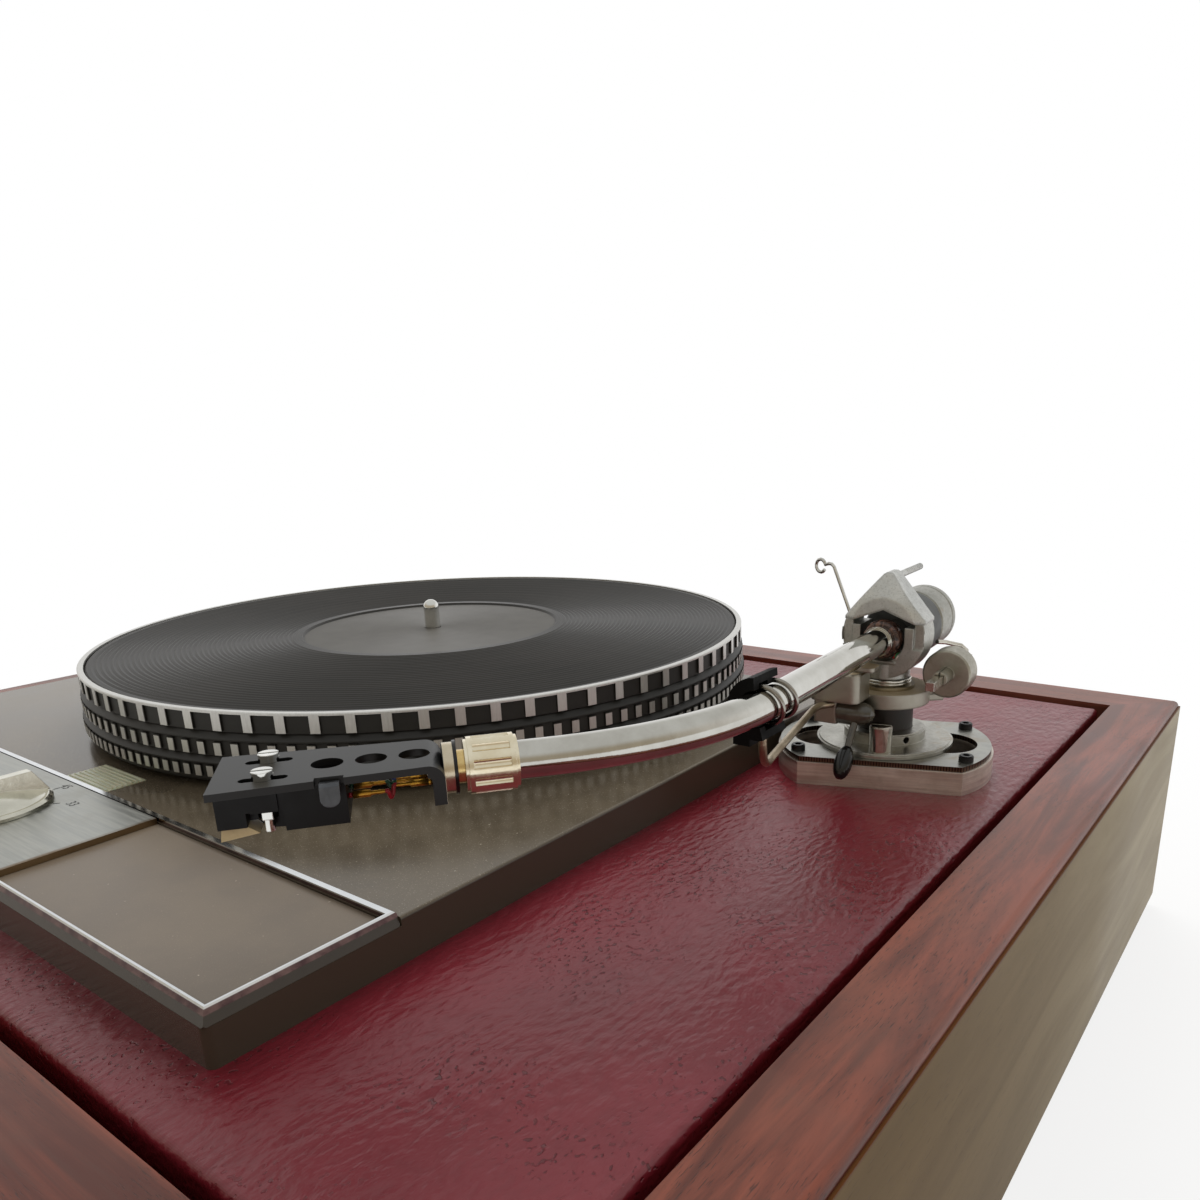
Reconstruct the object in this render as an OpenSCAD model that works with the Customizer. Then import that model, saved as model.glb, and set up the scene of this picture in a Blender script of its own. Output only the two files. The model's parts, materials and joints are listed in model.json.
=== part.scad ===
// Record turntable: rim-drive deck with a stroboscope platter and a curved pick-up arm,
// on a leather-topped board set into a timber plinth.
// Origin: centre of the plinth at the bottom of the feet. X right, Y back, Z up, millimetres.

/* [Plinth] */
// Overall width of the plinth, left to right
plinth_w = 540; // [520:1:640]
// Overall depth of the plinth, front to back
plinth_d = 460; // [446:1:560]
// Height of the timber case without its feet
case_h = 102; // [100:1:140]
// Thickness of each case board
board_w = 25.2; // [18:0.2:30]
// Thickness of the veneer on the outer faces
veneer_t = 0.8; // [0.5:0.1:2]
// Rounding of the top outer edge of the case
case_edge_r = 3; // [1:0.5:5]
// Thickness of the panel that closes the underside
base_t = 9; // [6:1:15]
// Side of the square blocks inside the corners
block_w = 40; // [25:1:45]
// Height of the rubber feet
foot_h = 6; // [4:1:12]
// Radius of the rubber feet
foot_r = 16; // [10:1:22]
// Distance of each foot from the outside of the case
foot_inset = 48; // [40:1:80]

/* [Top board] */
// Thickness of the board under the leather
top_t = 18; // [12:1:25]
// Thickness of the leather
leather_t = 1.2; // [0.8:0.1:2]
// Rounding of the leather at the edge of the board
leather_edge_r = 2.5; // [1.5:0.1:4]
// How far the leather wraps down the edge of the board
leather_wrap = 14; // [6:1:18]
// Open joint between the leather and the case
board_gap = 4.5; // [2:0.5:6]
// Height of the case above the leather
case_rise = 1; // [0:0.5:4]

/* [Deck plate] */
// Spindle position to the right of the plinth centre
spindle_x = -30; // [-40:1:0]
// Spindle position behind the plinth centre
spindle_y = 36; // [28:1:40]
// Width of the deck plate
deck_w = 349; // [330:1:352]
// Depth of the deck plate
deck_d = 308; // [300:1:340]
// Distance from the spindle to the front edge of the plate
deck_front = 218; // [215:1:220]
// Height of the deck plate above the leather
deck_h = 13.25; // [11:0.25:16]
// Wall thickness of the casting
deck_wall = 4; // [3:0.5:6]
// Corner radius of the plate
deck_corner = 2.2; // [2:0.1:6]
// Rounding along the top edge of the plate
deck_edge_r = 0.9; // [0.5:0.1:1]

/* [Control panel] */
// Depth of the control panel along the front
panel_d = 53; // [48:1:56]
// Width of the bright trim around the panel
trim_w = 2.6; // [2.4:0.2:5]
// Height of the trim above the plate
trim_h = 1.45; // [1:0.05:3]
// How far the outer face of the trim reaches down the edge of the plate
trim_drop = 2.4; // [1.5:0.1:3]
// Inward slope of the outer face of the trim
trim_slope = 2; // [1:0.1:2.4]
// Depth of the recess that holds the two plates
panel_recess = 1.5; // [1:0.1:2.5]
// Distance from the spindle line to the right end of the control plate
control_end = 57.7; // [40:0.5:100]
// Thickness of the dark blank plate
blank_t = 0.9; // [0.5:0.1:1.5]
// Radius of the two large knobs
knob_r = 19.4; // [16:0.2:21]
// Height of the grip bar of the large knobs
grip_h = 9; // [6:0.5:14]
// Width of the grip bar
grip_w = 6.4; // [4:0.2:10]
// Spacing of the controls along the panel
knob_pitch = 58.4; // [45:0.2:62]
// Radius of the fine speed knob
fine_r = 11; // [8:0.5:16]
// Radius of the control shafts
shaft_r = 3; // [2:0.25:4]

/* [Strobe window] */
// Width of the strobe window
window_w = 30.5; // [20:0.5:40]
// Depth of the strobe window
window_d = 14; // [8:0.5:15]
// Ribs moulded on the lens
window_ribs = 8; // [4:1:12]

/* [Platter] */
// Radius of the platter at its top edge
platter_r = 148.5; // [140:0.5:150]
// Height of the platter's top edge above the leather
platter_top = 42.2; // [40:0.2:44]
// Height of the platter's lower edge above the leather
platter_low = 16.2; // [15:0.1:17]
// Outward step from one strobe row to the next
row_step = 0.7; // [0.3:0.1:1]
// Depth of the dark pockets between the bars
pocket = 0.9; // [0.4:0.1:1.5]
// Bars in the top row
bars_top = 77; // [60:1:92]
// Bars in the middle row
bars_mid = 133; // [100:1:160]
// Bars in the bottom row
bars_low = 180; // [140:1:216]
// Inner radius of the rim, where the idler runs
rim_inner_r = 134; // [130:0.5:138]
// Thickness of the platter's web
web_t = 5; // [4:0.5:6]
// Radius of the mat
mat_r = 146; // [136:0.1:146.2]
// Thickness of the mat
mat_t = 3.4; // [2.5:0.1:4]
// Pitch of the grooves in the mat
mat_pitch = 2; // [1.5:0.1:4]
// Radius of the label recess in the mat
label_r = 58.7; // [50:0.1:62]
// Radius of the record spindle
spindle_r = 3.575; // [3.4:0.005:3.65]
// Height of the record spindle above the platter's edge
spindle_rise = 12; // [8:0.5:18]
// Radius of the bearing shaft
bearing_r = 7.9; // [6:0.1:9]
// Depth of the bearing below the leather
bearing_depth = 58; // [40:1:62]

/* [Drive] */
// Radius of the idler wheel
idler_r = 32; // [28:0.5:34]
// Thickness of the idler tyre
tyre_t = 4; // [3:0.5:5]
// Direction of the idler from the spindle
idler_dir = 200; // [195:1:205]
// Direction from the idler to the motor pulley
pulley_dir = 320; // [315:1:325]
// Length of the idler arm
idler_arm_l = 50; // [46:1:54]
// Angle by which the idler is drawn back when off
idler_back = 4.6; // [3:0.1:6]
// Radius of the motor
motor_r = 36; // [30:1:40]
// Height of the motor
motor_h = 52; // [40:1:55]
// Radius of the eddy brake disc
brake_r = 30; // [24:1:34]

/* [Arm base] */
// Arm pillar to the right of the spindle
pillar_dx = 216.5; // [216.5:0.5:220]
// Arm pillar behind the spindle
pillar_dy = 39.5; // [32:0.5:44]
// Turn of the bed plate from the front edge
bed_angle = 19.6; // [10:0.2:24]
// Radius of the rounded ends of the bed
bed_r = 41.4; // [39:0.2:41.8]
// Half depth of the bed between its straight edges
bed_half = 28.5; // [27:0.5:30]
// Height of the spacer
spacer_h = 8.85; // [5:0.05:14]
// Thickness of the bed plate
bed_t = 1.95; // [1.5:0.05:3]
// Half width of the slot along the bed
slot_r = 12.6; // [12.4:0.1:14]
// Radius of the sliding flange
flange_r = 26.2; // [22:0.1:27]
// Thickness of the sliding flange
flange_t = 1.9; // [1.5:0.1:3]
// Radius of the collar on the flange
collar_r = 15.6; // [14:0.1:17]
// Height of the collar on the flange
collar_h = 4.1; // [3:0.1:6]
// Radius of the pillar
pillar_r = 10.6; // [9:0.1:11]

/* [Pick-up arm] */
// Direction of the arm on its rest
arm_angle = 274; // [270:0.5:280]
// Height of the tube's axis above the leather
tube_z = 52.5; // [51.5:0.1:56]
// Radius of the arm tube
tube_r = 5; // [4.2:0.1:5.4]
// Wall of the arm tube
tube_wall = 0.8; // [0.5:0.1:1.5]
// Straight length in front of the pivot
tube_straight = 100; // [90:1:104]
// Radius of the bend
bend_r = 107; // [95:1:115]
// Angle of the bend
bend_a = 42.4; // [36:0.2:44]
// Radius of the locking collar
lock_r = 7.2; // [6:0.1:8]
// Length of the locking collar
lock_l = 13; // [10:0.5:15]
// Length of the headshell
shell_l = 51.5; // [46:0.5:56]
// Width of the headshell at the collar
shell_w_rear = 20.6; // [18:0.2:23]
// Width of the headshell at the front
shell_w_front = 26.4; // [22:0.2:29]
// Height of the headshell's rear wall
shell_wall_h = 10; // [9:0.5:12]
// Radius of the holes in the headshell
shell_hole_r = 3.7; // [2.5:0.1:4]
// Spacing of the two cartridge screws
screw_pitch = 12.7; // [12.7:0.1:13]
// Radius of the counterweight
weight_r = 13; // [12:0.5:14]
// Length of the counterweight
weight_l = 21.5; // [20:0.5:26]
// Radius of the rider weight
rider_r = 9.1; // [8:0.1:9.4]
// Sideways distance of the rider rod from the tube
rider_v = 23; // [22.5:0.5:26]

/* [Hidden] */
$fn = 96;
eps = 0.5;
seat = 0.1;
run_gap = 0.05;
touch_gap = 0.3;
seam = 0.02;
cut = 400;

case_w = plinth_w - 2 * veneer_t;
case_d = plinth_d - 2 * veneer_t;
veneer_h = case_h - case_edge_r;
inner_w = case_w - 2 * board_w;
inner_d = case_d - 2 * board_w;
top_w = inner_w - 2 * board_gap;
top_d = inner_d - 2 * board_gap;
leather_z = foot_h + case_h - case_rise;
core_w = top_w - 2 * leather_t;
core_d = top_d - 2 * leather_t;
core_z = leather_z - leather_t - top_t;

// Deck heights are counted from the top of the leather
deck_mid_y = deck_d / 2 - deck_front;
deck_under = deck_h - deck_wall;
well_w = deck_w - 2 * deck_wall - 6;
well_d = deck_d - 2 * deck_wall - 6;
panel_y = panel_d / 2 - deck_front;
plate_w = deck_w - 2 * trim_w - 0.8;
plate_d = panel_d - 2 * trim_w - 0.8;
plate_left = -plate_w / 2;
rebate_w = trim_w / 2;
control_top = deck_h + trim_h - 0.1;
blank_top = deck_h - panel_recess + blank_t;
knob_y = panel_y - 4;
fine_x = -knob_pitch;
power_x = -2 * knob_pitch;
window_y = panel_y + panel_d / 2 + window_d / 2 + 0.6;

row_top = [platter_top - 7.2, platter_top - 0.8];
row_mid = [platter_top - 15.9, platter_top - 11];
row_low = [platter_top - 23.8, platter_top - 19.6];
mat_floor = platter_top - mat_t - 0.5;
mat_top = mat_floor + run_gap + mat_t;
label_drop = 0.9;
label_z = mat_top - label_drop;
web_low = mat_floor - web_t;
hub_r = 24;
hub_low = 22;
spindle_tip = platter_top + spindle_rise;

pulley_r = rim_inner_r * 45 / 1480;
pulley_r_slow = rim_inner_r * 100 / 3 / 1480;
pulley_r_fast = rim_inner_r * 78.26 / 1480;
step_h = 5.4;
tyre_z = 21.7;
idler_on = polar(rim_inner_r - idler_r - touch_gap, idler_dir);
pulley_at = idler_on + polar(idler_r + pulley_r + touch_gap, pulley_dir);
pivot_dir = (idler_dir + pulley_dir) / 2 + 90;
idler_pivot = idler_on + polar(idler_arm_l, pivot_dir);
idler_at = idler_pivot + polar(idler_arm_l, pivot_dir + 180 - idler_back);
motor_top = -12;
brake_z = motor_top - motor_h - 10;

bed_top = spacer_h + bed_t;
flange_z = bed_top + seat;
collar_z = flange_z + flange_t;
pillar_low = -14;
clamp_at = polar(20.45, 289.3);
bed_screw_x = 31;
bed_screw_y = 20.2;
bracket_z = collar_z + collar_h + 10.5;
bracket_h = 5.6;
race_z = bracket_z + bracket_h + 1.3;
race_r = 9.2;
yoke_low = race_z + 3;

// Arm parts: x along the tube to the front, y to the right, z from the leather
yoke_r = 16;
yoke_front = 8;
yoke_back = -4.6;
yoke_mid = yoke_low + yoke_r + 0.2;
slot_half = 8.6;
hood_low = yoke_mid + 5.5;
hood_top = yoke_mid + 23.5;
face_r = 12.5;
face_z = yoke_mid + 2;
face_slope = 1.8;
soft_front = -7.5;
soft_l = 17.8;
weight_u = soft_front - soft_l - touch_gap;
tail_end = weight_u - 16;
rider_z = tube_z - 12.6;
tail_u = -29;
rider_l = 50;
rest_u = tube_straight + 5;
rest_z = tube_z - 24.5;
clip_at = [rest_u - 6.6, rest_u + 1.6];
lift_u = 21.5;
lift_v = -10.5;
lift_z = bracket_z + 4.5;
lift_stroke = 1.9;
lift_top = tube_z - tube_r - touch_gap - lift_stroke;
rail_t = 1.6;
block_top = lift_top - rail_t - touch_gap;
lever_z = bracket_z - 0.6;
lever_a = 142;
eye_r = 2.6;
guide_a = 248;
shell_rear = 26;
shell_top = tube_z + 4.5;
shell_t = 1.8;
shell_wall_t = 3;
screw_t = shell_rear + shell_l - 11.4;
body_top = shell_top - shell_t;
guard_low = mat_top + 0.9;

function polar(r, a) = [r * cos(a), r * sin(a)];
function unit(v) = v / norm(v);
function mix(a, b, t) = a * (1 - t) + b * t;
function quad(p, t) = mix(mix(p[0], p[1], t), mix(p[1], p[2], t), t);
function bend_path(p, n) = [for (i = [0 : n]) quad(p, i / n)];

module at_spindle(z = 0) translate([spindle_x, spindle_y, leather_z + z]) children();
module at_pillar(z = 0) at_spindle(z) translate([pillar_dx, pillar_dy, 0]) children();
module at_bed(z = 0) at_pillar(z) rotate(bed_angle) children();
module at_arm(z = 0) at_pillar(z) rotate(arm_angle) children();
module at_shell(z = 0) at_arm(z)
  translate([tube_straight + bend_r * sin(bend_a), -bend_r * (1 - cos(bend_a)), 0])
    rotate(-bend_a) children();

module four(x, y) for (i = [-1, 1], j = [-1, 1]) translate([i * x, j * y, 0]) children();

// A cylinder along the local x axis
module along_x(r, l) rotate([0, 90, 0]) cylinder(r = r, h = l);

// A cylinder along the local y axis
module along_y(r, l) rotate([-90, 0, 0]) cylinder(r = r, h = l);

// A profile drawn in the local y and z directions, drawn out along x
module extrude_x(l) rotate([90, 0, 90]) linear_extrude(l) children();

// A profile drawn in the local x and z directions, centred along y
module extrude_y(l) rotate([90, 0, 0]) linear_extrude(l, center = true) children();

module rounded_rect(l, w, r) {
  square([l - 2 * r, w], center = true);
  square([l, w - 2 * r], center = true);
  for (i = [-1, 1], j = [-1, 1]) translate([i * (l / 2 - r), j * (w / 2 - r)]) circle(r);
}

module stadium(half, r) {
  square([2 * half, 2 * r], center = true);
  for (i = [-1, 1]) translate([i * half, 0]) circle(r);
}

// A slab with rounded corners and a rounded top edge
module soft_slab(l, w, h, corner, edge) {
  linear_extrude(h - edge) rounded_rect(l, w, corner);
  linear_extrude(h) rounded_rect(l - 2 * edge, w - 2 * edge, corner - edge);
  translate([0, 0, h - edge]) {
    for (i = [-1, 1]) translate([corner - l / 2, i * (w / 2 - edge), 0]) along_x(edge, l - 2 * corner);
    for (i = [-1, 1]) translate([i * (l / 2 - edge), corner - w / 2, 0]) along_y(edge, w - 2 * corner);
    four(l / 2 - corner, w / 2 - corner) rotate_extrude() translate([corner - edge, 0]) circle(edge);
  }
}

// A slab whose four top edges are rounded and meet at mitred corners
module wrapped_slab(l, w, h, edge) intersection() {
  extrude_y(w) round_topped(l, h, edge);
  extrude_x_centred(l) round_topped(w, h, edge);
}

module round_topped(l, h, r) {
  translate([-l / 2, 0]) square([l, h - r]);
  translate([r - l / 2, 0]) square([l - 2 * r, h]);
  for (i = [-1, 1]) translate([i * (l / 2 - r), h - r]) circle(r);
}

// A round wire that follows a list of points; ref must not lie along the path
module wire(p, r, sides, ref) {
  n = len(p);
  d = [for (i = [0 : n - 1]) unit(p[min(i + 1, n - 1)] - p[max(i - 1, 0)])];
  a = [for (i = [0 : n - 1]) unit(cross(d[i], ref))];
  b = [for (i = [0 : n - 1]) cross(a[i], d[i])];
  pts = [for (i = [0 : n - 1], k = [0 : sides - 1])
    p[i] + r * (a[i] * cos(360 * k / sides) + b[i] * sin(360 * k / sides))];
  walls = [for (i = [0 : n - 2], k = [0 : sides - 1]) let (m = (k + 1) % sides)
    [i * sides + k, i * sides + m, (i + 1) * sides + m, (i + 1) * sides + k]];
  first = [for (k = [sides - 1 : -1 : 0]) k];
  last = [for (k = [0 : sides - 1]) (n - 1) * sides + k];
  polyhedron(pts, concat(walls, [first], [last]), convexity = 8);
}

module case_profile() difference() {
  square([board_w, case_h]);
  translate([board_w - case_edge_r, case_h - case_edge_r]) difference() {
    square(case_edge_r + eps);
    circle(case_edge_r);
  }
}

// One board of the case, mitred at both ends; its outer face lies at x = half
module case_board(half, l) {
  m = 5;
  color("#7a4034") intersection() {
    translate([half - board_w, 0, foot_h]) extrude_y(l + 2 * m) case_profile();
    translate([0, 0, foot_h - eps]) linear_extrude(case_h + 2 * eps) polygon([
      [half + m, l / 2 + m],
      [half - board_w - m, l / 2 - board_w - m],
      [half - board_w - m, board_w + m - l / 2],
      [half + m, -l / 2 - m]
    ]);
  }
}

module plinth_right() case_board(case_w / 2, case_d);
module plinth_left() rotate(180) case_board(case_w / 2, case_d);
module plinth_back() rotate(90) case_board(case_d / 2, case_w);
module plinth_front() rotate(-90) case_board(case_d / 2, case_w);

// Thin veneer on the four outer faces, below the rounded edge
module side_veneers() color("#978669") translate([0, 0, foot_h]) {
  for (i = [-1, 1]) translate([i * (case_w + veneer_t) / 2, 0, veneer_h / 2])
    cube([veneer_t, case_d, veneer_h], center = true);
  for (i = [-1, 1]) translate([0, i * (case_d + veneer_t) / 2, veneer_h / 2])
    cube([plinth_w, veneer_t, veneer_h], center = true);
}

// Panel under the case, screwed to the corner blocks
module base_board() color("#4a3830") translate([0, 0, foot_h]) linear_extrude(base_t)
  square([inner_w - 2 * seat, inner_d - 2 * seat], center = true);

// Blocks that stiffen the corners and carry the top board
module corner_blocks() color("#a98660") translate([0, 0, foot_h + base_t])
  four((inner_w - block_w) / 2 - seat, (inner_d - block_w) / 2 - seat)
    linear_extrude(core_z - foot_h - base_t) square(block_w, center = true);

module rubber_feet() color("#1c1c1c") four(plinth_w / 2 - foot_inset, plinth_d / 2 - foot_inset)
  rotate_extrude() polygon([
    [3, 1.6], [6, 1.6], [6, 0], [foot_r - 3, 0], [foot_r - 1.5, 1.5], [foot_r, foot_h], [3, foot_h]
  ]);

// Openings through the top board for the deck and for the arm
module top_openings() {
  translate([spindle_x, spindle_y + deck_mid_y]) square([well_w - 16, well_d - 16], center = true);
  translate([spindle_x + pillar_dx, spindle_y + pillar_dy]) rotate(bed_angle)
    stadium(bed_r - slot_r - 6, slot_r + 1);
}

module top_board() color("#b79a6c") translate([0, 0, core_z]) difference() {
  translate([0, 0, top_t / 2]) cube([core_w, core_d, top_t], center = true);
  translate([0, 0, -eps]) linear_extrude(top_t + 2 * eps) top_openings();
  at_screws() translate([0, 0, -eps]) cylinder(r = 1.9, h = top_t + 2 * eps);
}

// The four screw places of the bed plate, in plan
module at_screws() translate([spindle_x + pillar_dx, spindle_y + pillar_dy, 0]) rotate(bed_angle)
  four(bed_screw_x, bed_screw_y) children();

module leather_cover() color("#73202f") difference() {
  translate([0, 0, leather_z - leather_wrap])
    wrapped_slab(top_w, top_d, leather_wrap, leather_edge_r);
  translate([0, 0, leather_z - leather_t - leather_wrap])
    linear_extrude(leather_wrap) square([core_w, core_d], center = true);
  translate([0, 0, leather_z - 3]) linear_extrude(4) top_openings();
  translate([0, 0, leather_z - 3]) at_screws() cylinder(r = 1.9, h = 4);
}

// Cast plate with a deep skirt that stands on the leather
module deck_plate() color("#5a554e") at_spindle() difference() {
  translate([0, deck_mid_y, 0]) soft_slab(deck_w, deck_d, deck_h, deck_corner, deck_edge_r);
  translate([0, deck_mid_y, -eps]) linear_extrude(deck_under + eps) rounded_rect(well_w, well_d, 4);
  translate([0, panel_y, deck_h - panel_recess]) linear_extrude(panel_recess + eps)
    square([plate_w + 0.4, plate_d + 0.4], center = true);
  translate([0, panel_y, deck_h - trim_drop - seat]) linear_extrude(trim_drop + 1) difference() {
    translate([0, -1]) square([deck_w + 4, panel_d + 2], center = true);
    translate([0, 3]) square([deck_w - 2 * (rebate_w + seat), panel_d + 6 - 2 * (rebate_w + seat)], center = true);
  }
  translate([0, window_y, deck_under - eps]) linear_extrude(deck_wall + 2 * eps)
    square([window_w - 3, window_d - 3], center = true);
  translate([0, window_y, deck_h - 1.6]) linear_extrude(2)
    square([window_w + 2 * seat, window_d + 2 * seat], center = true);
  for (x = [0, fine_x, power_x]) translate([x, knob_y, deck_under - eps])
    cylinder(r = shaft_r + run_gap, h = deck_wall + 2 * eps);
  translate([0, 0, deck_under - eps]) cylinder(r = bearing_r + 6 + seat, h = deck_wall + 2 * eps);
  translate([pulley_at.x, pulley_at.y, deck_under - eps]) cylinder(r = 11, h = deck_wall + 2 * eps);
  translate([idler_pivot.x, idler_pivot.y, deck_under - eps])
    cylinder(r = 4 + run_gap, h = deck_wall + 2 * eps);
}

// Bright frame around the control panel; its outer face slopes down over the edge of the plate
module panel_trim() color("#d5d8da") at_spindle() translate([0, panel_y, 0]) difference() {
  intersection() {
    translate([0, 0, deck_h - trim_drop]) linear_extrude(trim_drop + trim_h)
      rounded_rect(deck_w, panel_d, 1);
    extrude_y(2 * panel_d) polygon([[-deck_w / 2, deck_h - trim_drop], [deck_w / 2, deck_h - trim_drop],
      [deck_w / 2 - trim_slope, deck_h + trim_h], [trim_slope - deck_w / 2, deck_h + trim_h]]);
    extrude_x_centred(2 * deck_w) polygon([[-panel_d / 2, deck_h - trim_drop], [panel_d / 2, deck_h - trim_drop],
      [panel_d / 2, deck_h + trim_h / 2], [panel_d / 2 - 0.8, deck_h + trim_h],
      [trim_slope - panel_d / 2, deck_h + trim_h]]);
  }
  translate([0, 0, deck_h - trim_drop - eps]) linear_extrude(cut)
    square([deck_w - 2 * trim_w, panel_d - 2 * trim_w], center = true);
  translate([0, 3, deck_h - trim_drop - eps]) linear_extrude(trim_drop + eps)
    square([deck_w - 2 * rebate_w, panel_d + 6 - 2 * rebate_w], center = true);
}

// Satin plate that carries the controls, with engraved pointer marks
module control_plate() color("#b4b4af") at_spindle() difference() {
  translate([plate_left, panel_y - plate_d / 2, deck_h - panel_recess])
    cube([control_end - plate_left, plate_d, control_top - deck_h + panel_recess]);
  for (x = [0, fine_x, power_x]) translate([x, knob_y, deck_h - panel_recess - eps])
    cylinder(r = shaft_r + run_gap, h = panel_recess + trim_h + 2 * eps);
  for (x = [0, power_x], a = [45, 90, 135]) translate([x, knob_y, control_top - 0.25]) rotate(a)
    translate([knob_r + 1.2, -0.3, 0]) cube([2.2, 0.6, 1]);
}

module blank_plate() color("#69625a") at_spindle(deck_h - panel_recess)
  translate([control_end + seat, panel_y - plate_d / 2, 0])
    cube([plate_w / 2 - control_end - seat, plate_d, blank_t]);

// Ribbed lens in front of the platter
module strobe_window() color("#c9c3a0") at_spindle(deck_h - 1.6) translate([0, window_y, 0]) {
  linear_extrude(1.8) square([window_w, window_d], center = true);
  for (i = [0 : window_ribs - 1])
    translate([-window_w / 2 + 1, (i + 0.5 - window_ribs / 2) * window_d / window_ribs, 1.8])
      along_x(0.35, window_w - 2);
}

// Neon tube in its holder, under the lens
module strobe_lamp() color("#e08a4a") at_spindle(deck_under) translate([0, window_y, 0]) {
  translate([-window_w / 2 + 4, 0, -5]) along_x(3.5, window_w - 8);
  for (i = [-1, 1]) translate([i * (window_w / 2 - 3), 0, -5])
    cube([3, 9, 10], center = true);
}

// Round dial with a tapered grip bar; the shaft runs through the deck
module large_knob(shaft_low, cam_r) {
  color("#c4c4bd") rotate_extrude() polygon([
    [0, 0], [knob_r, 0], [knob_r, 1.1], [knob_r - 1.2, 1.9], [knob_r - 2.2, 1.9], [grip_w, 4.6], [0, 4.6]
  ]);
  color("#c4c4bd") intersection() {
    extrude_x_centred(grip_w) polygon([
      [-knob_r + 0.8, 0], [knob_r - 0.8, 0], [knob_r - 0.8, 2], [knob_r - 4.6, grip_h],
      [-knob_r + 4.6, grip_h], [-knob_r + 0.8, 2]
    ]);
    extrude_y(2 * knob_r) polygon([
      [-grip_w / 2, 0], [grip_w / 2, 0], [grip_w * 0.3, grip_h + eps], [-grip_w * 0.3, grip_h + eps]
    ]);
  }
  color("#8f8f8a") translate([0, 0, -shaft_low]) cylinder(r = shaft_r, h = shaft_low + 1);
  color("#8f8f8a") translate([0, 0, -shaft_low]) linear_extrude(3) {
    circle(cam_r);
    translate([cam_r / 2, 0]) square([cam_r + 4, cam_r], center = true);
  }
}

// A profile drawn in the local y and z directions, centred along x
module extrude_x_centred(l) translate([-l / 2, 0, 0]) extrude_x(l) children();

module speed_knob() at_spindle(control_top + seat) translate([0, knob_y, 0])
  large_knob(control_top - deck_under + 8, 8);

module power_knob() at_spindle(control_top + seat) translate([power_x, knob_y, 0])
  rotate(45) large_knob(control_top - deck_under + 8, 7);

// Ribbed knob that moves the brake magnet
module fine_knob() at_spindle(control_top + seat) translate([fine_x, knob_y, 0]) {
  color("#b9b9b3") difference() {
    cylinder(r = fine_r, h = 5);
    for (k = [0 : 23]) rotate(k * 15) translate([fine_r + 0.35, 0, -eps]) cylinder(r = 0.9, h = 6);
    translate([fine_r * 0.62, -0.4, 4.6]) cube([fine_r * 0.3, 0.8, 1]);
  }
  color("#8f8f8a") translate([0, 0, -16]) cylinder(r = shaft_r, h = 17);
}

// A toothed outline: lands at radius r, pockets cut below it
function bar_points(n, duty, r) = [for (k = [0 : n - 1]) let (a = 360 * k / n, h = 180 * duty / n)
  each [polar(r - pocket, a - h), polar(r, a - h), polar(r, a + h), polar(r - pocket, a + h)]];

module bar_row(n, duty, r, zr) translate([0, 0, zr[0]]) linear_extrude(zr[1] - zr[0]) difference() {
  polygon(bar_points(n, duty, r));
  circle(r - pocket - 1.2);
}

// Heavy platter with three rows of strobe bars cut in its rim
module platter() color("#bdbdb8") at_spindle() {
  r2 = platter_r + row_step;
  r3 = platter_r + 2 * row_step;
  floor_in = pocket + 0.12;
  rotate_extrude() polygon([
    [bearing_r + seat, hub_low], [hub_r, hub_low], [hub_r, web_low], [rim_inner_r, web_low],
    [rim_inner_r, platter_low], [r3 - 1.6, platter_low], [r3 - floor_in, platter_low + 1],
    [r3 - floor_in, row_low[1] + 0.6], [r3 - 0.2, row_low[1] + 0.6], [r3 - 0.2, row_low[1] + 1],
    [r2 - 1.6, row_mid[0] - 0.8], [r2 - floor_in, row_mid[0] - 0.4], [r2 - floor_in, row_mid[1] + 0.6],
    [r2 - 0.2, row_mid[1] + 0.6], [r2 - 0.2, row_mid[1] + 1], [platter_r - 1.6, row_top[0] - 0.8],
    [platter_r - floor_in, row_top[0] - 0.4], [platter_r - floor_in, row_top[1] - 0.1],
    [platter_r + 0.08, row_top[1] - 0.1], [platter_r + 0.08, platter_top - 0.3], [platter_r - 0.3, platter_top],
    [mat_r + 0.25, platter_top], [mat_r + 0.25, mat_floor], [bearing_r + seat, mat_floor]
  ]);
  bar_row(bars_top, 0.29, platter_r, row_top);
  bar_row(bars_mid, 0.4, r2, row_mid);
  bar_row(bars_low, 0.5, r3, row_low);
}

// Rubber mat with concentric grooves around a flat label recess
module platter_mat() color("#3a3835") at_spindle(mat_floor + run_gap) {
  n = floor((mat_r - label_r - 6) / mat_pitch);
  start = mat_r - 2.5 - n * mat_pitch;
  rotate_extrude() polygon(concat(
    [[spindle_r + 0.25, 0], [mat_r, 0], [mat_r, mat_t - 0.8], [mat_r - 0.8, mat_t]],
    [for (i = [n : -1 : 1]) each [[start + i * mat_pitch, mat_t],
      [start + (i - 0.5) * mat_pitch, mat_t - 0.45]]],
    [[start, mat_t], [label_r + 0.8, mat_t], [label_r, mat_t - label_drop], [spindle_r + 0.25, mat_t - label_drop]]
  ));
}

module spindle() color("#d8d8d4") at_spindle() {
  rotate_extrude() polygon([
    [0, -bearing_depth], [bearing_r - 1, -bearing_depth], [bearing_r, 1 - bearing_depth],
    [bearing_r, mat_floor - 0.2], [spindle_r - 1, mat_floor - 0.2], [spindle_r - 1, label_z],
    [spindle_r, label_z], [spindle_r, spindle_tip - spindle_r], [0, spindle_tip - spindle_r]
  ]);
  translate([0, 0, spindle_tip - spindle_r]) sphere(spindle_r);
}

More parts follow.
